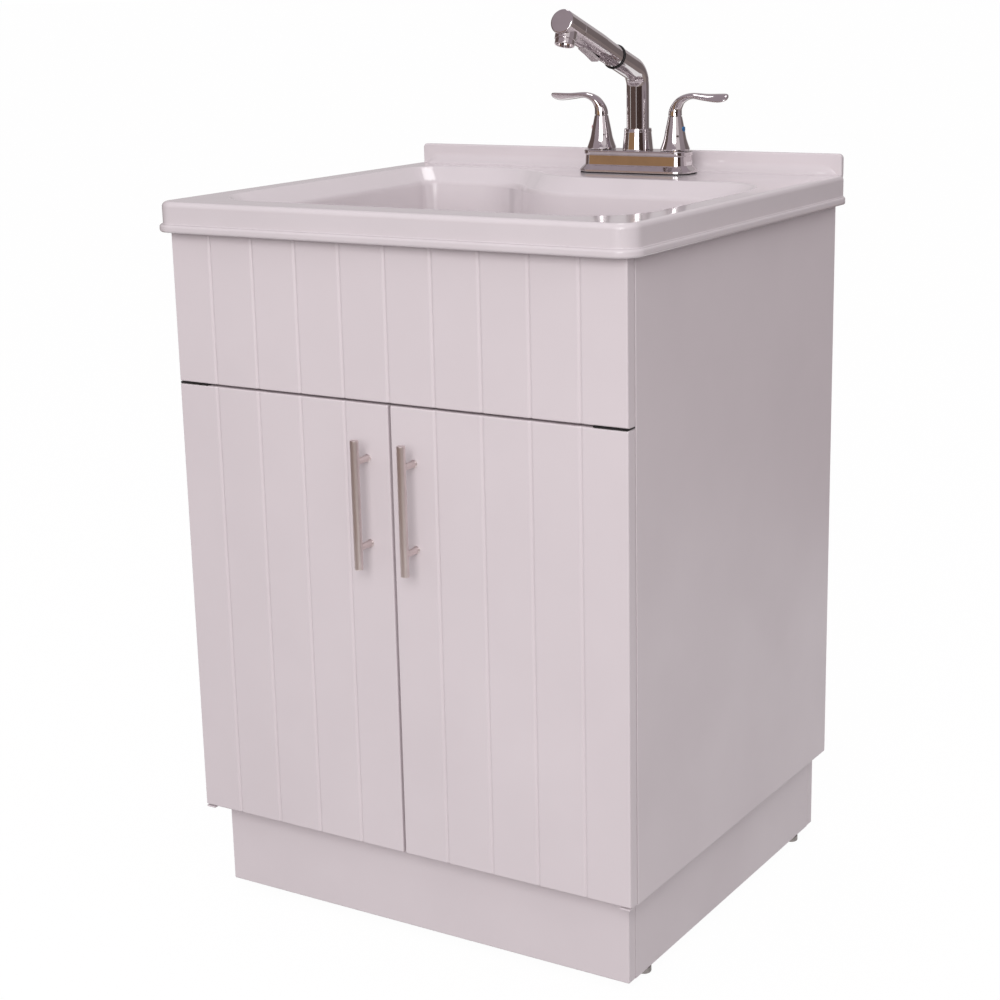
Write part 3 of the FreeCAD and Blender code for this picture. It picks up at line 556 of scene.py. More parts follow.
@dataclass
class BarPull:
    """A satin bar on two posts."""

    side: str
    end_round: float = 1.0 * MM
    post_diameter: float = 7.5 * MM
    post_flare: float = 0.8 * MM
    flare_round: float = 0.3 * MM
    root_round: float = 0.6 * MM
    post_centres: float = 96 * MM

    def build(self) -> None:
        """Build the bar and its posts in the places of their nodes."""
        body = f"{self.side}_door"
        low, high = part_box(f"{self.side}_pull_bar")
        middle, radius = (low + high) / 2, (high.x - low.x) / 2
        half = (high.z - low.z) / 2
        profile = rounded(((radius / 4, -half), (radius, -half, self.end_round),
                           (radius, half, self.end_round), (radius / 4, half)))
        Mesh().skin(turned(profile, Matrix.Translation(middle))).piece(
            f"{self.side}_pull_satin_bar", Slot.SATIN_STEEL, body, f"{self.side}_pull_bar")
        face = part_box(f"{self.side}_pull_posts")[1].y
        shaft, flare, reach = self.post_diameter / 2, self.post_flare, face - middle.y
        profile = rounded(((shaft + flare, 0), (shaft + flare, flare, self.flare_round),
                           (shaft, 2 * flare, self.root_round), (shaft, reach)))
        posts = Mesh()
        for sign in (-1, 1):
            foot = Matrix.Translation((middle.x, face, middle.z + sign * self.post_centres / 2))
            posts.skin(turned(profile, foot @ Matrix.Rotation(math.pi / 2, 4, "X"), segments=40))
        posts.piece(f"{self.side}_pull_satin_posts", Slot.SATIN_STEEL, body, f"{self.side}_pull_posts")


@dataclass
class LevellingFoot:
    """A levelling foot: a turned steel glide on a threaded stud."""

    corner: str
    glide_height: float = 8 * MM
    stud_diameter: float = 6 * MM
    thread_pitch: float = 1 * MM
    thread_depth: float = 0.5 * MM
    sole_round: float = 2 * MM
    shoulder_round: float = 1.2 * MM

    def build(self) -> None:
        """Build the foot in the place of its node."""
        node = f"{self.corner}_foot"
        low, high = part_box(node)
        middle, radius, stud = (low + high) / 2, (high.x - low.x) / 2, self.stud_diameter / 2
        corners = [(radius / 2, 0), (radius, 0, self.sole_round),
                   (radius, self.glide_height, self.shoulder_round), (stud, self.glide_height)]
        turns = int((high.z - low.z - self.glide_height) / self.thread_pitch) - 1
        for turn in range(turns):
            height = self.glide_height + (turn + 0.5) * self.thread_pitch
            corners += [(stud - self.thread_depth, height), (stud, height + self.thread_pitch / 2)]
        corners.append((stud - self.thread_depth, high.z - low.z))
        place = Matrix.Translation((middle.x, middle.y, low.z))
        Mesh().skin(turned(rounded(corners), place, segments=48)).piece(
            f"{self.corner}_foot_glide", Slot.ZINC_STEEL, node, node)


@dataclass
class SinkTop:
    """The moulded top: rim, skirt and bead, upstand at the wall, and a stepped basin round its drain."""

    rim_corner: float = 22 * MM
    back_corner: float = 12 * MM
    bead_reach: float = 4 * MM
    # Corners of the moulding's section in millimetres: drawn in, height over the rim and rounding
    bowl_section: Profile = ((87, -290), (42, -290, 34), (22, -18, 9), (-4.5, 0, 8), (-14, 0))
    rim_section: Profile = ((20, 0), (0, 0, 6), (0, -25, 1.5), (-4, -25, 3.2), (-4, -34, 3.2), (4, -34, 1),
                            (4, -4, 1), (10, -4))
    under_section: Profile = ((-14, -4), (-9, -4, 3), (18, -22, 5), (38, -294, 34), (87, -294))
    splash_height: float = 24.5 * MM
    splash_thick: float = 6 * MM
    splash_round: float = 2 * MM
    splash_inset: float = 4.5 * MM
    splash_corner: float = 5 * MM
    splash_root: float = 10 * MM
    splash_slant: float = 3 * MM
    splash_ease: float = 1 * MM
    # Where the upstand's rounded ends have a ring, in millimetres from the end
    splash_rings: Corner = (0, 0.1, 0.3, 0.7, 1.2, 2, 2.8, 3.8, 5)
    # How the cove grows past them: shares of its radius along the upstand and upwards
    cove_growth: Profile = ((0.15, 0.15), (0.4, 0.45), (0.8, 0.8), (1.3, 0.97), (1.8, 1))
    cove: float = 14 * MM
    least_cove: float = 0.4 * MM
    cove_sunk: float = 0.02 * MM
    side_overhang: float = 11.4 * MM
    front_overhang: float = 13.1 * MM
    basin_land: float = 25 * MM
    basin_front: float = 38 * MM
    basin_back: float = 53 * MM
    deck_depth: float = 135 * MM
    basin_corner: float = 67 * MM
    recess_corner: float = 42 * MM
    tightest_corner: float = 14 * MM
    recess_length: float = 116 * MM
    step_run: float = 170 * MM
    drain_radius: float = 45 * MM
    drain_points: int = 180
    basin_gap: float = 6 * MM
    rim_gap: float = 9 * MM
    ray_gap: float = 1e-3

    def __post_init__(self) -> None:
        """Take the place of the top from the frame."""
        low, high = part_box("sink_top")
        self.half = high.x - self.bead_reach
        self.front, self.back = low.y + self.bead_reach, high.y
        self.top = high.z - self.splash_height
        flange_low, flange_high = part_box("strainer_body")
        self.drain = np.array((flange_low + flange_high)[:2]) / 2
        samples = np.vstack((spaced(self.basin(0), self.basin_gap), spaced(self.rim(0), self.rim_gap)))
        offset = samples - self.drain
        rays = np.sort(np.arctan2(offset[:, 1], offset[:, 0]))
        self.rays = rays[np.append(True, np.diff(rays) > self.ray_gap)]

    def basin(self, inset: float) -> np.ndarray:
        """Draw the basin's outline, drawn in by an inset.

        Args:
            inset: how far it is drawn in.

        Returns:
            The outline: deep at the left, stepped forward in an S at the tap deck.
        """
        opening = self.half - self.side_overhang - self.basin_land
        face = self.front + self.front_overhang
        recess_back, deck_edge = self.back - self.basin_back, self.back - self.deck_depth
        half, front = opening - inset, face + self.basin_front + inset
        corner = max(self.basin_corner - inset, self.tightest_corner)
        recess = max(self.recess_corner - inset, self.tightest_corner)
        end, step = self.recess_length - opening, recess_back - deck_edge
        bend = (self.step_run ** 2 + step ** 2) / (4 * step)
        swing = math.atan2(self.step_run / 2, bend - step / 2)
        sweep = np.linspace(0, swing, BEND_POINTS)
        into = np.column_stack((end + np.sin(sweep) * (bend - inset),
                                recess_back - bend + np.cos(sweep) * (bend - inset)))
        out = np.column_stack((end + self.step_run - np.sin(sweep[::-1]) * (bend + inset),
                               deck_edge + bend - np.cos(sweep[::-1]) * (bend + inset)))
        start = rounded(((-half, front, corner), (-half, recess_back - inset, recess),
                         (end, recess_back - inset), (0, front)), closed=True, steps=16)[:-2]
        finish = rounded(((0, front), (end + self.step_run, deck_edge - inset),
                          (half, deck_edge - inset, corner), (half, front, corner)),
                         closed=True, steps=16)[2:]
        return np.vstack((start, into, out, finish))

    def rim(self, inset: float) -> np.ndarray:
        """Draw the rim's outline, drawn in by an inset.

        Args:
            inset: how far it is drawn in.

        Returns:
            The outline, which never passes the wall behind.
        """
        half, front, back = self.half - inset, self.front + inset, self.back - max(inset, 0)
        corner, back_corner = max(self.rim_corner - inset, MM), max(self.back_corner - inset, MM)
        return rectangle((-half, front), (half, back), corner, back_corner, steps=12)

    def hole(self, _inset: float) -> np.ndarray:
        """Draw the drain hole."""
        angles = np.linspace(-math.pi, math.pi, self.drain_points, endpoint=False)
        return self.drain + self.drain_radius * np.column_stack((np.cos(angles), np.sin(angles)))

    def ring(self, outline: Callable[[float], np.ndarray], inset: float, height: float) -> np.ndarray:
        """Lay an outline on the rays that all rings of the top share.

        Args:
            outline: draws the outline for an inset.
            inset: how far it is drawn in.
            height: its height over the rim.

        Returns:
            One point on each ray.
        """
        offset = spaced(outline(inset), MM) - self.drain
        angle, radius = np.arctan2(offset[:, 1], offset[:, 0]), np.hypot(offset[:, 0], offset[:, 1])
        order = np.argsort(angle)
        reach = np.interp(self.rays, angle[order], radius[order], period=2 * math.pi)
        points = self.drain + reach[:, None] * np.column_stack((np.cos(self.rays), np.sin(self.rays)))
        return level(points, self.top + height)

    def build(self) -> None:
        """Build the whole moulding as one closed skin with its upstand."""
        bowl = rounded(in_mm(self.bowl_section), steps=10)[:-1]
        rim = rounded(in_mm(self.rim_section), steps=8)[1:]
        under = rounded(in_mm(self.under_section), steps=8)[1:]
        rings = [self.ring(self.hole, 0, bowl[0][1])]
        for outline, section in ((self.basin, bowl), (self.rim, rim), (self.basin, under)):
            rings += [self.ring(outline, *corner) for corner in section]
        rings.append(self.ring(self.hole, 0, under[-1][1]))
        Mesh().skin(rings, looped=True).skin(self.upstand()).piece(
            "sink_moulding", Slot.SINK, "cabinet", "sink_top")

    def upstand(self) -> Rings:
        """Shape the thin upstand along the wall.

        Returns:
            Its rings from end to end, with a cove at the foot that dies out at both ends.
        """
        half, face = self.half - self.splash_inset, self.back - self.splash_thick
        corner, ease = self.splash_corner, self.splash_round
        # Distance from the end, how far the top falls there, how far the front draws in, and the cove
        ends = []
        for out in np.array(self.splash_rings) * MM:
            fall = corner - math.sqrt(corner ** 2 - (corner - out) ** 2)
            short = max(ease - out, 0)
            ends.append((out, fall, ease - math.sqrt(ease ** 2 - short ** 2), self.least_cove))
        ends += [(corner + self.cove * share, 0, 0, max(self.cove * rise, self.least_cove))
                 for share, rise in self.cove_growth]
        stations = [(-half + out, *rest) for out, *rest in ends]
        stations += [(half - out, *rest) for out, *rest in reversed(ends)]
        rings = []
        for x, fall, drawn, cove in stations:
            high, front = self.splash_height - fall, face + drawn
            toe = front - cove - MM
            profile = rounded(((toe, -self.splash_root), (toe, -self.cove_sunk),
                               (front, -self.cove_sunk, cove), (front, high, ease),
                               (self.back, high, self.splash_ease), (self.back, 0),
                               (self.back - self.splash_slant, -self.splash_root)), closed=True, steps=10)
            across, up = profile.T
            rings.append(np.column_stack((np.full(len(profile), x), across, self.top + up)))
        return rings


@dataclass
class Tap:
    """The chromed tap: base, two lever handles, collar, swivelling spout and pull-out spray head."""

    base_length: float = 152 * MM
    base_depth: float = 52 * MM
    base_corner: float = 20 * MM
    # Corners in millimetres: drawn in from the foot, height and rounding
    base_side: Profile = ((0.5, 0), (0, 0, 0.5), (0, 2.6, 1), (6.6, 8.4, 0.8), (7.4, 20, 0.6),
                          (5.8, 21, 0.5), (5.8, 26, 1.4), (12, 26))
    # Corners in millimetres: radius, height and rounding
    collar_side: Profile = ((14.4, 0), (19, 0, 0.4), (19, 1.5, 0.8), (16.9, 22, 0.6), (17.2, 22.6, 0.4),
                            (16.6, 26, 0.8), (14.4, 26))
    hub_rim: Profile = ((9.4, 0.4), (18, 0.4, 0.5), (18, 2.2))
    # Radius and height in millimetres, up the flare and in the groove below the lever
    hub_flare: Profile = ((18, 2.3), (15.9, 8), (14, 14), (12.8, 20), (11.6, 26), (9.9, 34), (8.5, 40.9))
    hub_groove: Profile = ((7.4, 40.9), (7.4, 42))
    hub_height: float = 42 * MM
    centres: float = 101.6 * MM
    neck: float = 8.5 * MM
    lever_reach: float = 70 * MM
    lever_rise: float = 23.4 * MM
    lever_half_width: float = 8.5 * MM
    lever_half_thick: float = 3 * MM
    lever_roll: float = math.radians(30)
    lever_points: int = 40
    spout_radius: float = 14 * MM
    spout_wall: float = 2 * MM
    spout_rise: float = math.radians(19.5)
    bend_height: float = 93 * MM
    bend_radius: float = 24 * MM
    arm_length: float = 60.6 * MM
    ring_thick: float = 2.4 * MM
    ring_proud: float = 1 * MM
    ring_round: float = 1.6 * MM
    gap: float = 0.4 * MM
    head_length: float = 131 * MM
    head_radius: float = 14.5 * MM
    head_neck: float = 13.5 * MM
    head_points: int = 53
    pocket_points: int = 13
    neck_length: float = 13 * MM
    neck_ease: float = 1 * MM
    neck_step: float = 0.6 * MM
    swell_length: float = 30 * MM
    swell_round: float = 40 * MM
    # Corners of the head's end, its outlet and its aerator in millimetres: radius, height and rounding
    cap_side: Profile = ((14.5, -52), (14.5, -34, 0.2), (14, -33.6), (14.5, -33.2, 0.2), (14.5, 0, 2.4),
                         (10, 0), (3, 0))
    outlet_side: Profile = ((4, 0), (12.5, 0), (12.5, 17.5, 0.7), (11.5, 17.5))
    aerator_side: Profile = ((11.5, 17.5), (11.5, 23.5, 0.8), (9.1, 23.5, 0.8), (9.1, 19.5), (2, 19.5))
    dock_radius: float = 9 * MM
    dock_length: float = 22 * MM
    aerator_back: float = 15 * MM
    toggle_back: float = 60 * MM
    toggle_length: float = 36 * MM
    toggle_heel: float = 6 * MM
    toggle_half_width: float = 5 * MM
    toggle_thick: float = 4.6 * MM
    toggle_proud: float = 5.8 * MM
    toggle_tilt: float = math.radians(6.9)
    toggle_ease: float = 1.2 * MM
    # Corners of the lug about its pin, as above
    lug_side: Profile = ((0.4, -5), (2.6, -5, 0.4), (2.6, 5, 0.4), (0.4, 5))
    pin_out: float = 10.6 * MM
    pocket_out: float = 6.5 * MM
    pocket_end: float = 1 * MM

    def __post_init__(self) -> None:
        """Take the tap's place from the frame."""
        low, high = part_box("tap_base")
        middle = (low + high) / 2
        self.foot = Matrix.Translation((middle.x, middle.y, low.z))
        self.deck = Matrix.Translation((middle.x, middle.y, high.z))
        self.bend = self.deck @ Matrix.Translation((0, 0, self.bend_height))
        self.arm = self.bend @ Matrix.Rotation(math.pi / 2 - self.spout_rise, 4, "X")
        self.head_start = self.arm_length + self.ring_thick + self.gap
        self.head_end = self.head_start + self.head_length

    def build(self) -> None:
        """Build every part of the tap."""
        self.build_base()
        for side, sign in (("left", -1), ("right", 1)):
            self.build_handle(side, sign)
        self.build_spout()
        self.build_head()
        self.build_toggle()

    def build_base(self) -> None:
        """Build the stepped base and the collar that the spout turns in."""
        rings = []
        for inset, height in rounded(in_mm(self.base_side), steps=5):
            x, y = self.base_length / 2 - inset, self.base_depth / 2 - inset
            corner = self.base_corner - inset
            outline = rectangle((-x, -y), (x, y), corner, corner, steps=14)
            rings.append(moved(level(outline, height), self.foot))
        Mesh().skin(rings).piece("tap_base_casting", Slot.CHROME, "cabinet", "tap_base")
        Mesh().skin(turned(rounded(in_mm(self.collar_side)), self.deck), looped=True).piece(
            "spout_collar_casting", Slot.CHROME, "cabinet", "spout_collar")

    def build_handle(self, side: str, sign: int) -> None:
        """Build one flared hub and its S-shaped lever.

        Args:
            side: the side's name.
            sign: minus one on the left, one on the right.
        """
        place = self.deck @ Matrix.Translation((sign * self.centres / 2, 0, 0))
        body, high = f"{side}_tap_handle", self.hub_height
        hub = np.vstack((rounded(in_mm(self.hub_rim), steps=4), smoothed(in_mm(self.hub_flare), LOFT_SPANS),
                         in_mm(self.hub_groove)))
        Mesh().skin(turned(hub, place)).piece(
            f"{side}_tap_hub_casting", Slot.CHROME, body, f"{side}_tap_hub")

        wide, thick, neck = self.lever_half_width, self.lever_half_thick, self.neck
        # Share of the reach, rise and roll, slope in degrees, half width and half thickness
        sections = smoothed([
            (0, 0, 0, 90, neck, neck), (0.005, 0.2, 0, 84, 0.96 * neck, 0.94 * neck),
            (0.035, 0.46, 0, 70, 0.88 * neck, 0.8 * neck), (0.13, 0.8, 0.02, 42, 0.9 * wide, 1.6 * thick),
            (0.32, 0.99, 0.2, 5, 0.84 * wide, 1.2 * thick), (0.6, 0.93, 0.7, -7, 0.93 * wide, 1.02 * thick),
            (0.82, 0.9, 1, 2, wide, 0.95 * thick), (0.93, 0.92, 1.02, 8, 0.92 * wide, 0.85 * thick),
            (0.98, 0.94, 1, 12, 0.68 * wide, 0.66 * thick), (1, 0.95, 1, 14, 0.25 * wide, 0.3 * thick)],
            LOFT_SPANS)
        angles, rings = np.arange(self.lever_points) * 2 * math.pi / self.lever_points, []
        for out, up, turn, slope, half_width, half_thick in sections:
            tilt, roll = math.radians(slope), sign * turn * self.lever_roll
            flat, tall = np.sin(angles) * half_width, np.cos(angles) * half_thick
            across = flat * math.cos(roll) - tall * math.sin(roll)
            lift = tall * math.cos(roll) + flat * math.sin(roll)
            ring = np.column_stack((sign * (out * self.lever_reach - lift * math.sin(tilt)), across,
                                    high + up * self.lever_rise + lift * math.cos(tilt)))
            rings.append(moved(ring, place))
        Mesh().skin(rings).piece(f"{side}_tap_lever_casting", Slot.CHROME, body, f"{side}_tap_lever")

    def build_spout(self) -> None:
        """Build the bent spout tube and the black seal ring at its mouth."""
        turn = math.pi / 2 - self.spout_rise
        tangent = self.bend_radius * math.tan(turn / 2)
        steps = [Matrix.Translation((0, 0, self.gap))]
        knee = Matrix.Translation((0, -self.bend_radius, self.bend_height - tangent))
        out = Matrix.Translation((0, self.bend_radius, 0))
        steps += [knee @ Matrix.Rotation(angle, 4, "X") @ out
                  for angle in np.linspace(0, turn, BEND_POINTS)]
        mouth = Matrix.Translation((0, 0, self.bend_height)) @ Matrix.Rotation(turn, 4, "X")
        steps.append(mouth @ Matrix.Translation((0, 0, self.arm_length)))
        inner, rings = self.spout_radius - self.spout_wall, []
        for radius, order in ((self.spout_radius, steps), (inner, steps[::-1])):
            for step in order:
                rings += turned(np.array(((radius, 0.0),)), self.deck @ step)
        Mesh().skin(rings, looped=True).piece("spout_bent_tube", Slot.CHROME, "spout", "spout_tube")
        outer, ease = self.spout_radius + self.ring_proud, self.ring_round
        start, end = self.arm_length, self.arm_length + self.ring_thick
        seal = rounded(((inner, start), (outer, start, ease), (outer, end, ease), (inner, end)))
        Mesh().skin(turned(seal, self.arm), looped=True).piece(
            "spout_seal_ring", Slot.RUBBER, "spout", "spout_ring")

    def head_ring(self, radius: float, height: float, pocket: bool) -> np.ndarray:
        """Draw a ring of the spray head.

        Args:
            radius: its radius.
            height: how far along the arm it lies.
            pocket: whether the toggle's pocket is cut into it.

        Returns:
            The ring's points: round the top first, then across the toggle's side.
        """
        half, floor = self.toggle_half_width + self.gap, self.pocket_out
        notch = math.asin(half / self.head_radius)
        sweep = np.linspace(notch, 2 * math.pi - notch, self.head_points)
        around = radius * np.column_stack((np.sin(sweep), -np.cos(sweep)))
        if pocket:
            corners = np.vstack((around[-1], (-half, -floor), (half, -floor), around[0]))
            stations = np.linspace(0, 3, self.pocket_points)[1:-1]
            across = np.column_stack([np.interp(stations, range(4), corners[:, axis]) for axis in (0, 1)])
        else:
            sweep = np.linspace(-notch, notch, self.pocket_points)[1:-1]
            across = radius * np.column_stack((np.sin(sweep), -np.cos(sweep)))
        return moved(level(np.vstack((around, across)), height), self.arm)

    def build_head(self) -> None:
        """Build the spray head with the toggle's pocket and its outlet, and the aerator."""
        start, end, wide = self.head_start, self.head_end, self.head_radius
        high = end - self.toggle_back + self.toggle_heel + self.pocket_end
        low = high - self.toggle_length - 2 * self.pocket_end
        neck_end, neck = start + self.neck_length, self.head_neck
        swell = rounded(((neck, start + self.neck_ease), (neck, neck_end, self.swell_round),
                         (wide, neck_end + self.swell_length, self.swell_round), (wide, high)), steps=8)
        heel = np.interp((low, high), swell[:, 1], swell[:, 0])
        before = [(radius, height, False) for radius, height in swell if height < low]
        within = [(radius, height, True) for radius, height in swell if low < height < high]
        rows = [(self.dock_radius, start - self.dock_length, False), (self.dock_radius, start, False),
                (neck - self.neck_step, start, False), *before, (heel[0], low, False),
                (heel[0], low, True), *within, (heel[1], high, True), (heel[1], high, False)]
        cap = rounded(in_mm(self.cap_side), steps=8) + (0, end)
        rows += [(radius, height, False) for radius, height in cap]
        mesh = Mesh().skin([self.head_ring(*row) for row in rows])
        outlet = (self.arm @ Matrix.Translation((0, 0, end - self.aerator_back))
                  @ Matrix.Rotation(math.pi / 2, 4, "X"))
        mesh.skin(turned(rounded(in_mm(self.outlet_side)), outlet)).piece(
            "spray_head_casting", Slot.CHROME, "spray_head", "spray_head")
        Mesh().skin(turned(rounded(in_mm(self.aerator_side)), outlet)).piece(
            "outlet_aerator_cup", Slot.CHROME, "spray_head", "aerator")

    def build_toggle(self) -> None:
        """Build the toggle, a pale paddle on a lug that rocks in the head's pocket."""
        pin = Matrix.Translation((0, -self.pin_out, self.head_end - self.toggle_back))
        place = self.arm @ pin @ Matrix.Rotation(-self.toggle_tilt, 4, "X")
        thick, length, ease, rings = self.toggle_thick, self.toggle_length, self.toggle_ease, []
        middle = thick / 2 - self.toggle_proud
        # Shares of the length, of the width, and of the thickness at the inner and the outer face
        for along, width, near, far in smoothed([
                (0, 0.74, 0.36, 0.3), (0.015, 0.93, 0.46, 0.44), (0.06, 1, 0.5, 0.5), (0.3, 1, 0.5, 0.46),
                (0.5, 1, 0.5, 0.4), (0.75, 1, 0.5, 0.46), (0.94, 1, 0.5, 0.5), (0.985, 0.93, 0.46, 0.44),
                (1, 0.74, 0.36, 0.3)], spans=4):
            x = width * self.toggle_half_width
            outline = rectangle((-x, middle - far * thick), (x, middle + near * thick),
                                ease, ease / 2, steps=5)
            rings.append(moved(level(outline, self.toggle_heel - along * length), place))
        across = place @ Matrix.Rotation(math.pi / 2, 4, "Y")
        Mesh().skin(rings).skin(turned(rounded(in_mm(self.lug_side)), across)).piece(
            "spray_toggle_paddle", Slot.GREY_PLASTIC, "spray_toggle", "spray_toggle")


# Studio
def direction(azimuth: float, elevation: float) -> Vector:
    """Point from the object to an azimuth and an elevation, both in degrees."""
    around, up = math.radians(azimuth), math.radians(elevation)
    return Vector((math.sin(around) * math.cos(up), -math.cos(around) * math.cos(up), math.sin(up)))


def facing(at: Vector, target: Vector) -> Matrix:
    """Give the place of a thing that looks from one point to another."""
    turn = (target - at).to_track_quat("-Z", "Y")
    return Matrix.Translation(at) @ turn.to_matrix().to_4x4()


def seen_rays(tree: Tree) -> Socket:
    """Tell the rays that show the background from those that light the object.

    Args:
        tree: the tree that asks.

    Returns:
        One for a ray that shows it, otherwise zero.
    """
    path = add(tree, "ShaderNodeLightPath")
    seen = path.outputs["Is Camera Ray"]
    for ray in ("Is Glossy Ray", "Is Transmission Ray"):
        either = add(tree, "ShaderNodeMath", {0: seen, 1: path.outputs[ray]}, operation="MAXIMUM")
        seen = either.outputs[0]
    return seen


def sheet(name: str, place: Matrix, half_x: float, half_y: float,
          material: bpy.types.Material) -> bpy.types.Object:
    """Lay a flat sheet of the studio.

    Args:
        name: its name.
        place: where its middle lies.
        half_x: half its width.
        half_y: half its height.
        material: what it wears.

    Returns:
        The object.
    """
    data = bpy.data.meshes.new(name)
    signs = ((-1, -1), (1, -1), (1, 1), (-1, 1))
    corners = [place @ Vector((x * half_x, y * half_y, 0)) for x, y in signs]
    data.from_pydata(corners, [], [(0, 1, 2, 3)])
    data.materials.append(material)
    made = bpy.data.objects.new(name, data)
    bpy.context.scene.collection.objects.link(made)
    return made


@dataclass(frozen=True)
class Lamp:
    """A square soft lamp: where it hangs, what it looks at, the length of its sides and its watts."""

    name: str
    at: Corner
    target: Corner
    size: float
    power: float

    def build(self) -> None:
        """Hang the lamp."""
        data = bpy.data.lights.new(self.name, "AREA")
        data.size, data.energy = self.size, self.power
        made = bpy.data.objects.new(self.name, data)
        made.matrix_world = facing(Vector(self.at), Vector(self.target))
        bpy.context.scene.collection.objects.link(made)


@dataclass(frozen=True)
class Card:
    """A card that only shows in reflections, as the walls of a room do.

    It stands at an azimuth, from the front round to the right, and an elevation, both in degrees, and
    at a distance from the tap.
    """

    name: str
    azimuth: float
    elevation: float
    distance: float
    half_x: float
    half_y: float
    colour: str

    def build(self, middle: Vector) -> None:
        """Stand the card up, facing a point, where only reflections show it.

        Args:
            middle: the point that it faces.
        """
        made = bpy.data.materials.new(self.name)
        tree = bare_tree(made)
        glow = add(tree, "ShaderNodeEmission", {"Color": linear(self.colour), "Strength": 1.0})
        add(tree, "ShaderNodeOutputMaterial", {"Surface": glow.outputs[0]})
        at = middle + direction(self.azimuth, self.elevation) * self.distance
        card = sheet(self.name, facing(at, middle), self.half_x, self.half_y, made)
        card.visible_camera = card.visible_diffuse = card.visible_shadow = False


LAMPS = (
    # The key lights the fronts; the lamp above and behind leaves a glint in the basin's far corner
    Lamp("key_softbox", (1.2, -3.4, 2.0), (0, -0.25, 0.5), 2.2, 76.0),
    Lamp("top_softbox", (-0.45, 1.0, 3.2), (-0.24, 0.2, 0.8), 0.6, 5.0),
)
CARDS = (
    Card("front_wall", -26, 4.5, 4.2, 2.0, 0.33, "#A2805F"),
    Card("front_skirt", -20, -6, 4.4, 2.6, 0.5, "#5F4F4A"),
    Card("front_upper_wall", -24, 25, 4.5, 2.4, 1.4, "#A99DA3"),
    Card("front_strip", 12, 3, 1.6, 0.09, 0.6, "#D2CBCC"),
    Card("right_front_wall", 42, 2, 4.4, 2.6, 1.2, "#463834"),
    Card("right_panel", 45, 27, 4.2, 2.0, 0.75, "#E0D8DA"),
    Card("right_wall", 96, 12, 4.4, 2.4, 2.0, "#A0959A"),
    Card("right_back_wall", 146, 14, 4.6, 2.4, 2.2, "#7C7272"),
    Card("back_wall", 205, 20, 4.4, 2.8, 1.6, "#BCB5B7"),
    Card("left_wall", -90, 12, 4.4, 3.2, 2.2, "#6A5B58"),
    Card("ceiling", 0, 89, 2.9, 5.2, 5.2, "#A79BA3"),
    Card("front_ground", -10, -32, 1.7, 2.6, 0.7, "#8F7D76"),
    Card("right_ground", 90, -32, 1.7, 2.6, 0.7, "#A0948F"),
    Card("back_ground", 180, -32, 1.7, 2.6, 0.7, "#8E8280"),
    Card("left_ground", -90, -32, 1.7, 2.6, 0.7, "#8F8380"),
)


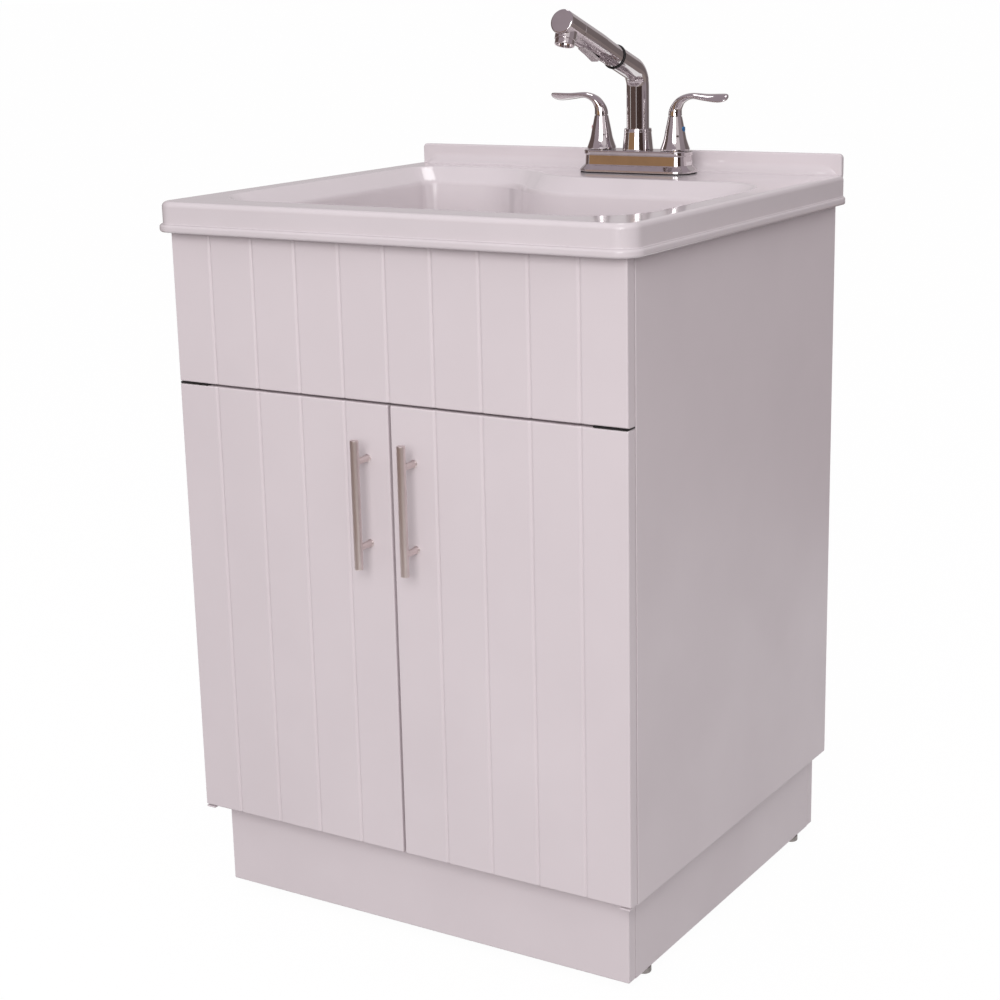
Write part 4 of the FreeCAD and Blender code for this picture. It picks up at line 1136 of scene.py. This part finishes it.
@dataclass
class Studio:
    """A white room with soft lamps and cards, and the camera of the photograph."""

    eye: Vector = Vector((1.2077, -1.9514, 1.0604))
    azimuth: float = 32.144
    elevation: float = 14.448
    roll: float = math.radians(-1.27)
    lens: float = 71.37
    sensor: float = 36.0
    tap_middle: Vector = Vector((0.05, 0.1, 0.9))
    floor_half: float = 400.0
    ambient: float = 0.715
    shade_tint: str = "#FFFCFF"
    white: str = "#FFFFFF"
    paper: str = "#969293"
    shadow_share: float = 0.12
    paper_glow: float = 1.1

    def build(self) -> None:
        """Build the floor, the lamps, the cards and the camera."""
        self.build_world()
        self.build_floor()
        for lamp in LAMPS:
            lamp.build()
        for card in CARDS:
            card.build(self.tap_middle)
        self.build_camera()

    def build_world(self) -> None:
        """Build the sky: white where it shows, softer where it lights."""
        world = bpy.data.worlds.new("white_room")
        bpy.context.scene.world = world
        tree = bare_tree(world)
        seen = seen_rays(tree)
        strength = add(tree, "ShaderNodeMapRange", {"Value": seen, "To Min": self.ambient, "To Max": 1.0})
        colour = add(tree, "ShaderNodeMix", {0: seen, 6: linear(self.shade_tint), 7: linear(self.white)},
                     data_type="RGBA")
        sky = add(tree, "ShaderNodeBackground", {
            "Color": colour.outputs[2], "Strength": strength.outputs[0]})
        add(tree, "ShaderNodeOutputWorld", {"Surface": sky.outputs[0]})

    def build_floor(self) -> None:
        """Build the floor, white but for the object's shadow."""
        made = bpy.data.materials.new("white_paper_sweep")
        tree = bare_tree(made)
        paper = add(tree, "ShaderNodeBsdfDiffuse", {"Color": linear(self.paper)})
        glow = add(tree, "ShaderNodeEmission", {"Color": linear(self.white), "Strength": self.paper_glow})
        shown = add(tree, "ShaderNodeMixShader", {
            0: self.shadow_share, 1: glow.outputs[0], 2: paper.outputs[0]})
        mixed = add(tree, "ShaderNodeMixShader", {
            0: seen_rays(tree), 1: paper.outputs[0], 2: shown.outputs[0]})
        add(tree, "ShaderNodeOutputMaterial", {"Surface": mixed.outputs[0]})
        sheet("studio_floor", Matrix.Identity(4), self.floor_half, self.floor_half, made)

    def build_camera(self) -> None:
        """Set up the camera at the photograph's angle."""
        data = bpy.data.cameras.new("photo_camera")
        data.lens, data.sensor_width = self.lens, self.sensor
        made = bpy.data.objects.new("photo_camera", data)
        ahead = self.eye - direction(self.azimuth, self.elevation)
        made.matrix_world = facing(self.eye, ahead) @ Matrix.Rotation(self.roll, 4, "Z")
        bpy.context.scene.collection.objects.link(made)
        bpy.context.scene.camera = made


BOARDS = ("left_side_panel", "right_side_panel", "bottom_panel", "front_top_rail", "front_middle_rail",
          "back_top_rail", "back_bottom_rail", "plinth_front", "plinth_back")


def dress_nodes() -> None:
    """Give every node of the frame the finish of its slot."""
    for row in frame["record"]["subparts"]:
        node = frame["nodes"][row["node"]]
        node.data.materials.clear()
        node.data.materials.append(FINISHES[Slot(row["material_slot"])].material())


def main() -> None:
    """Build the cabinet's looks and the studio."""
    logging.basicConfig(level=logging.INFO, format="%(message)s")
    bpy.context.scene.view_settings.view_transform = "Standard"
    dress_nodes()
    for node in BOARDS:
        Board(node).build()
    GroovedFront("drawer_front", "cabinet").build()
    for side in ("left", "right"):
        GroovedFront(f"{side}_door", f"{side}_door").build()
        BarPull(side).build()
        for end in ("front", "back"):
            LevellingFoot(f"{end}_{side}").build()
    SinkTop().build()
    Tap().build()
    Studio().build()


if __name__ == "__main__":
    main()
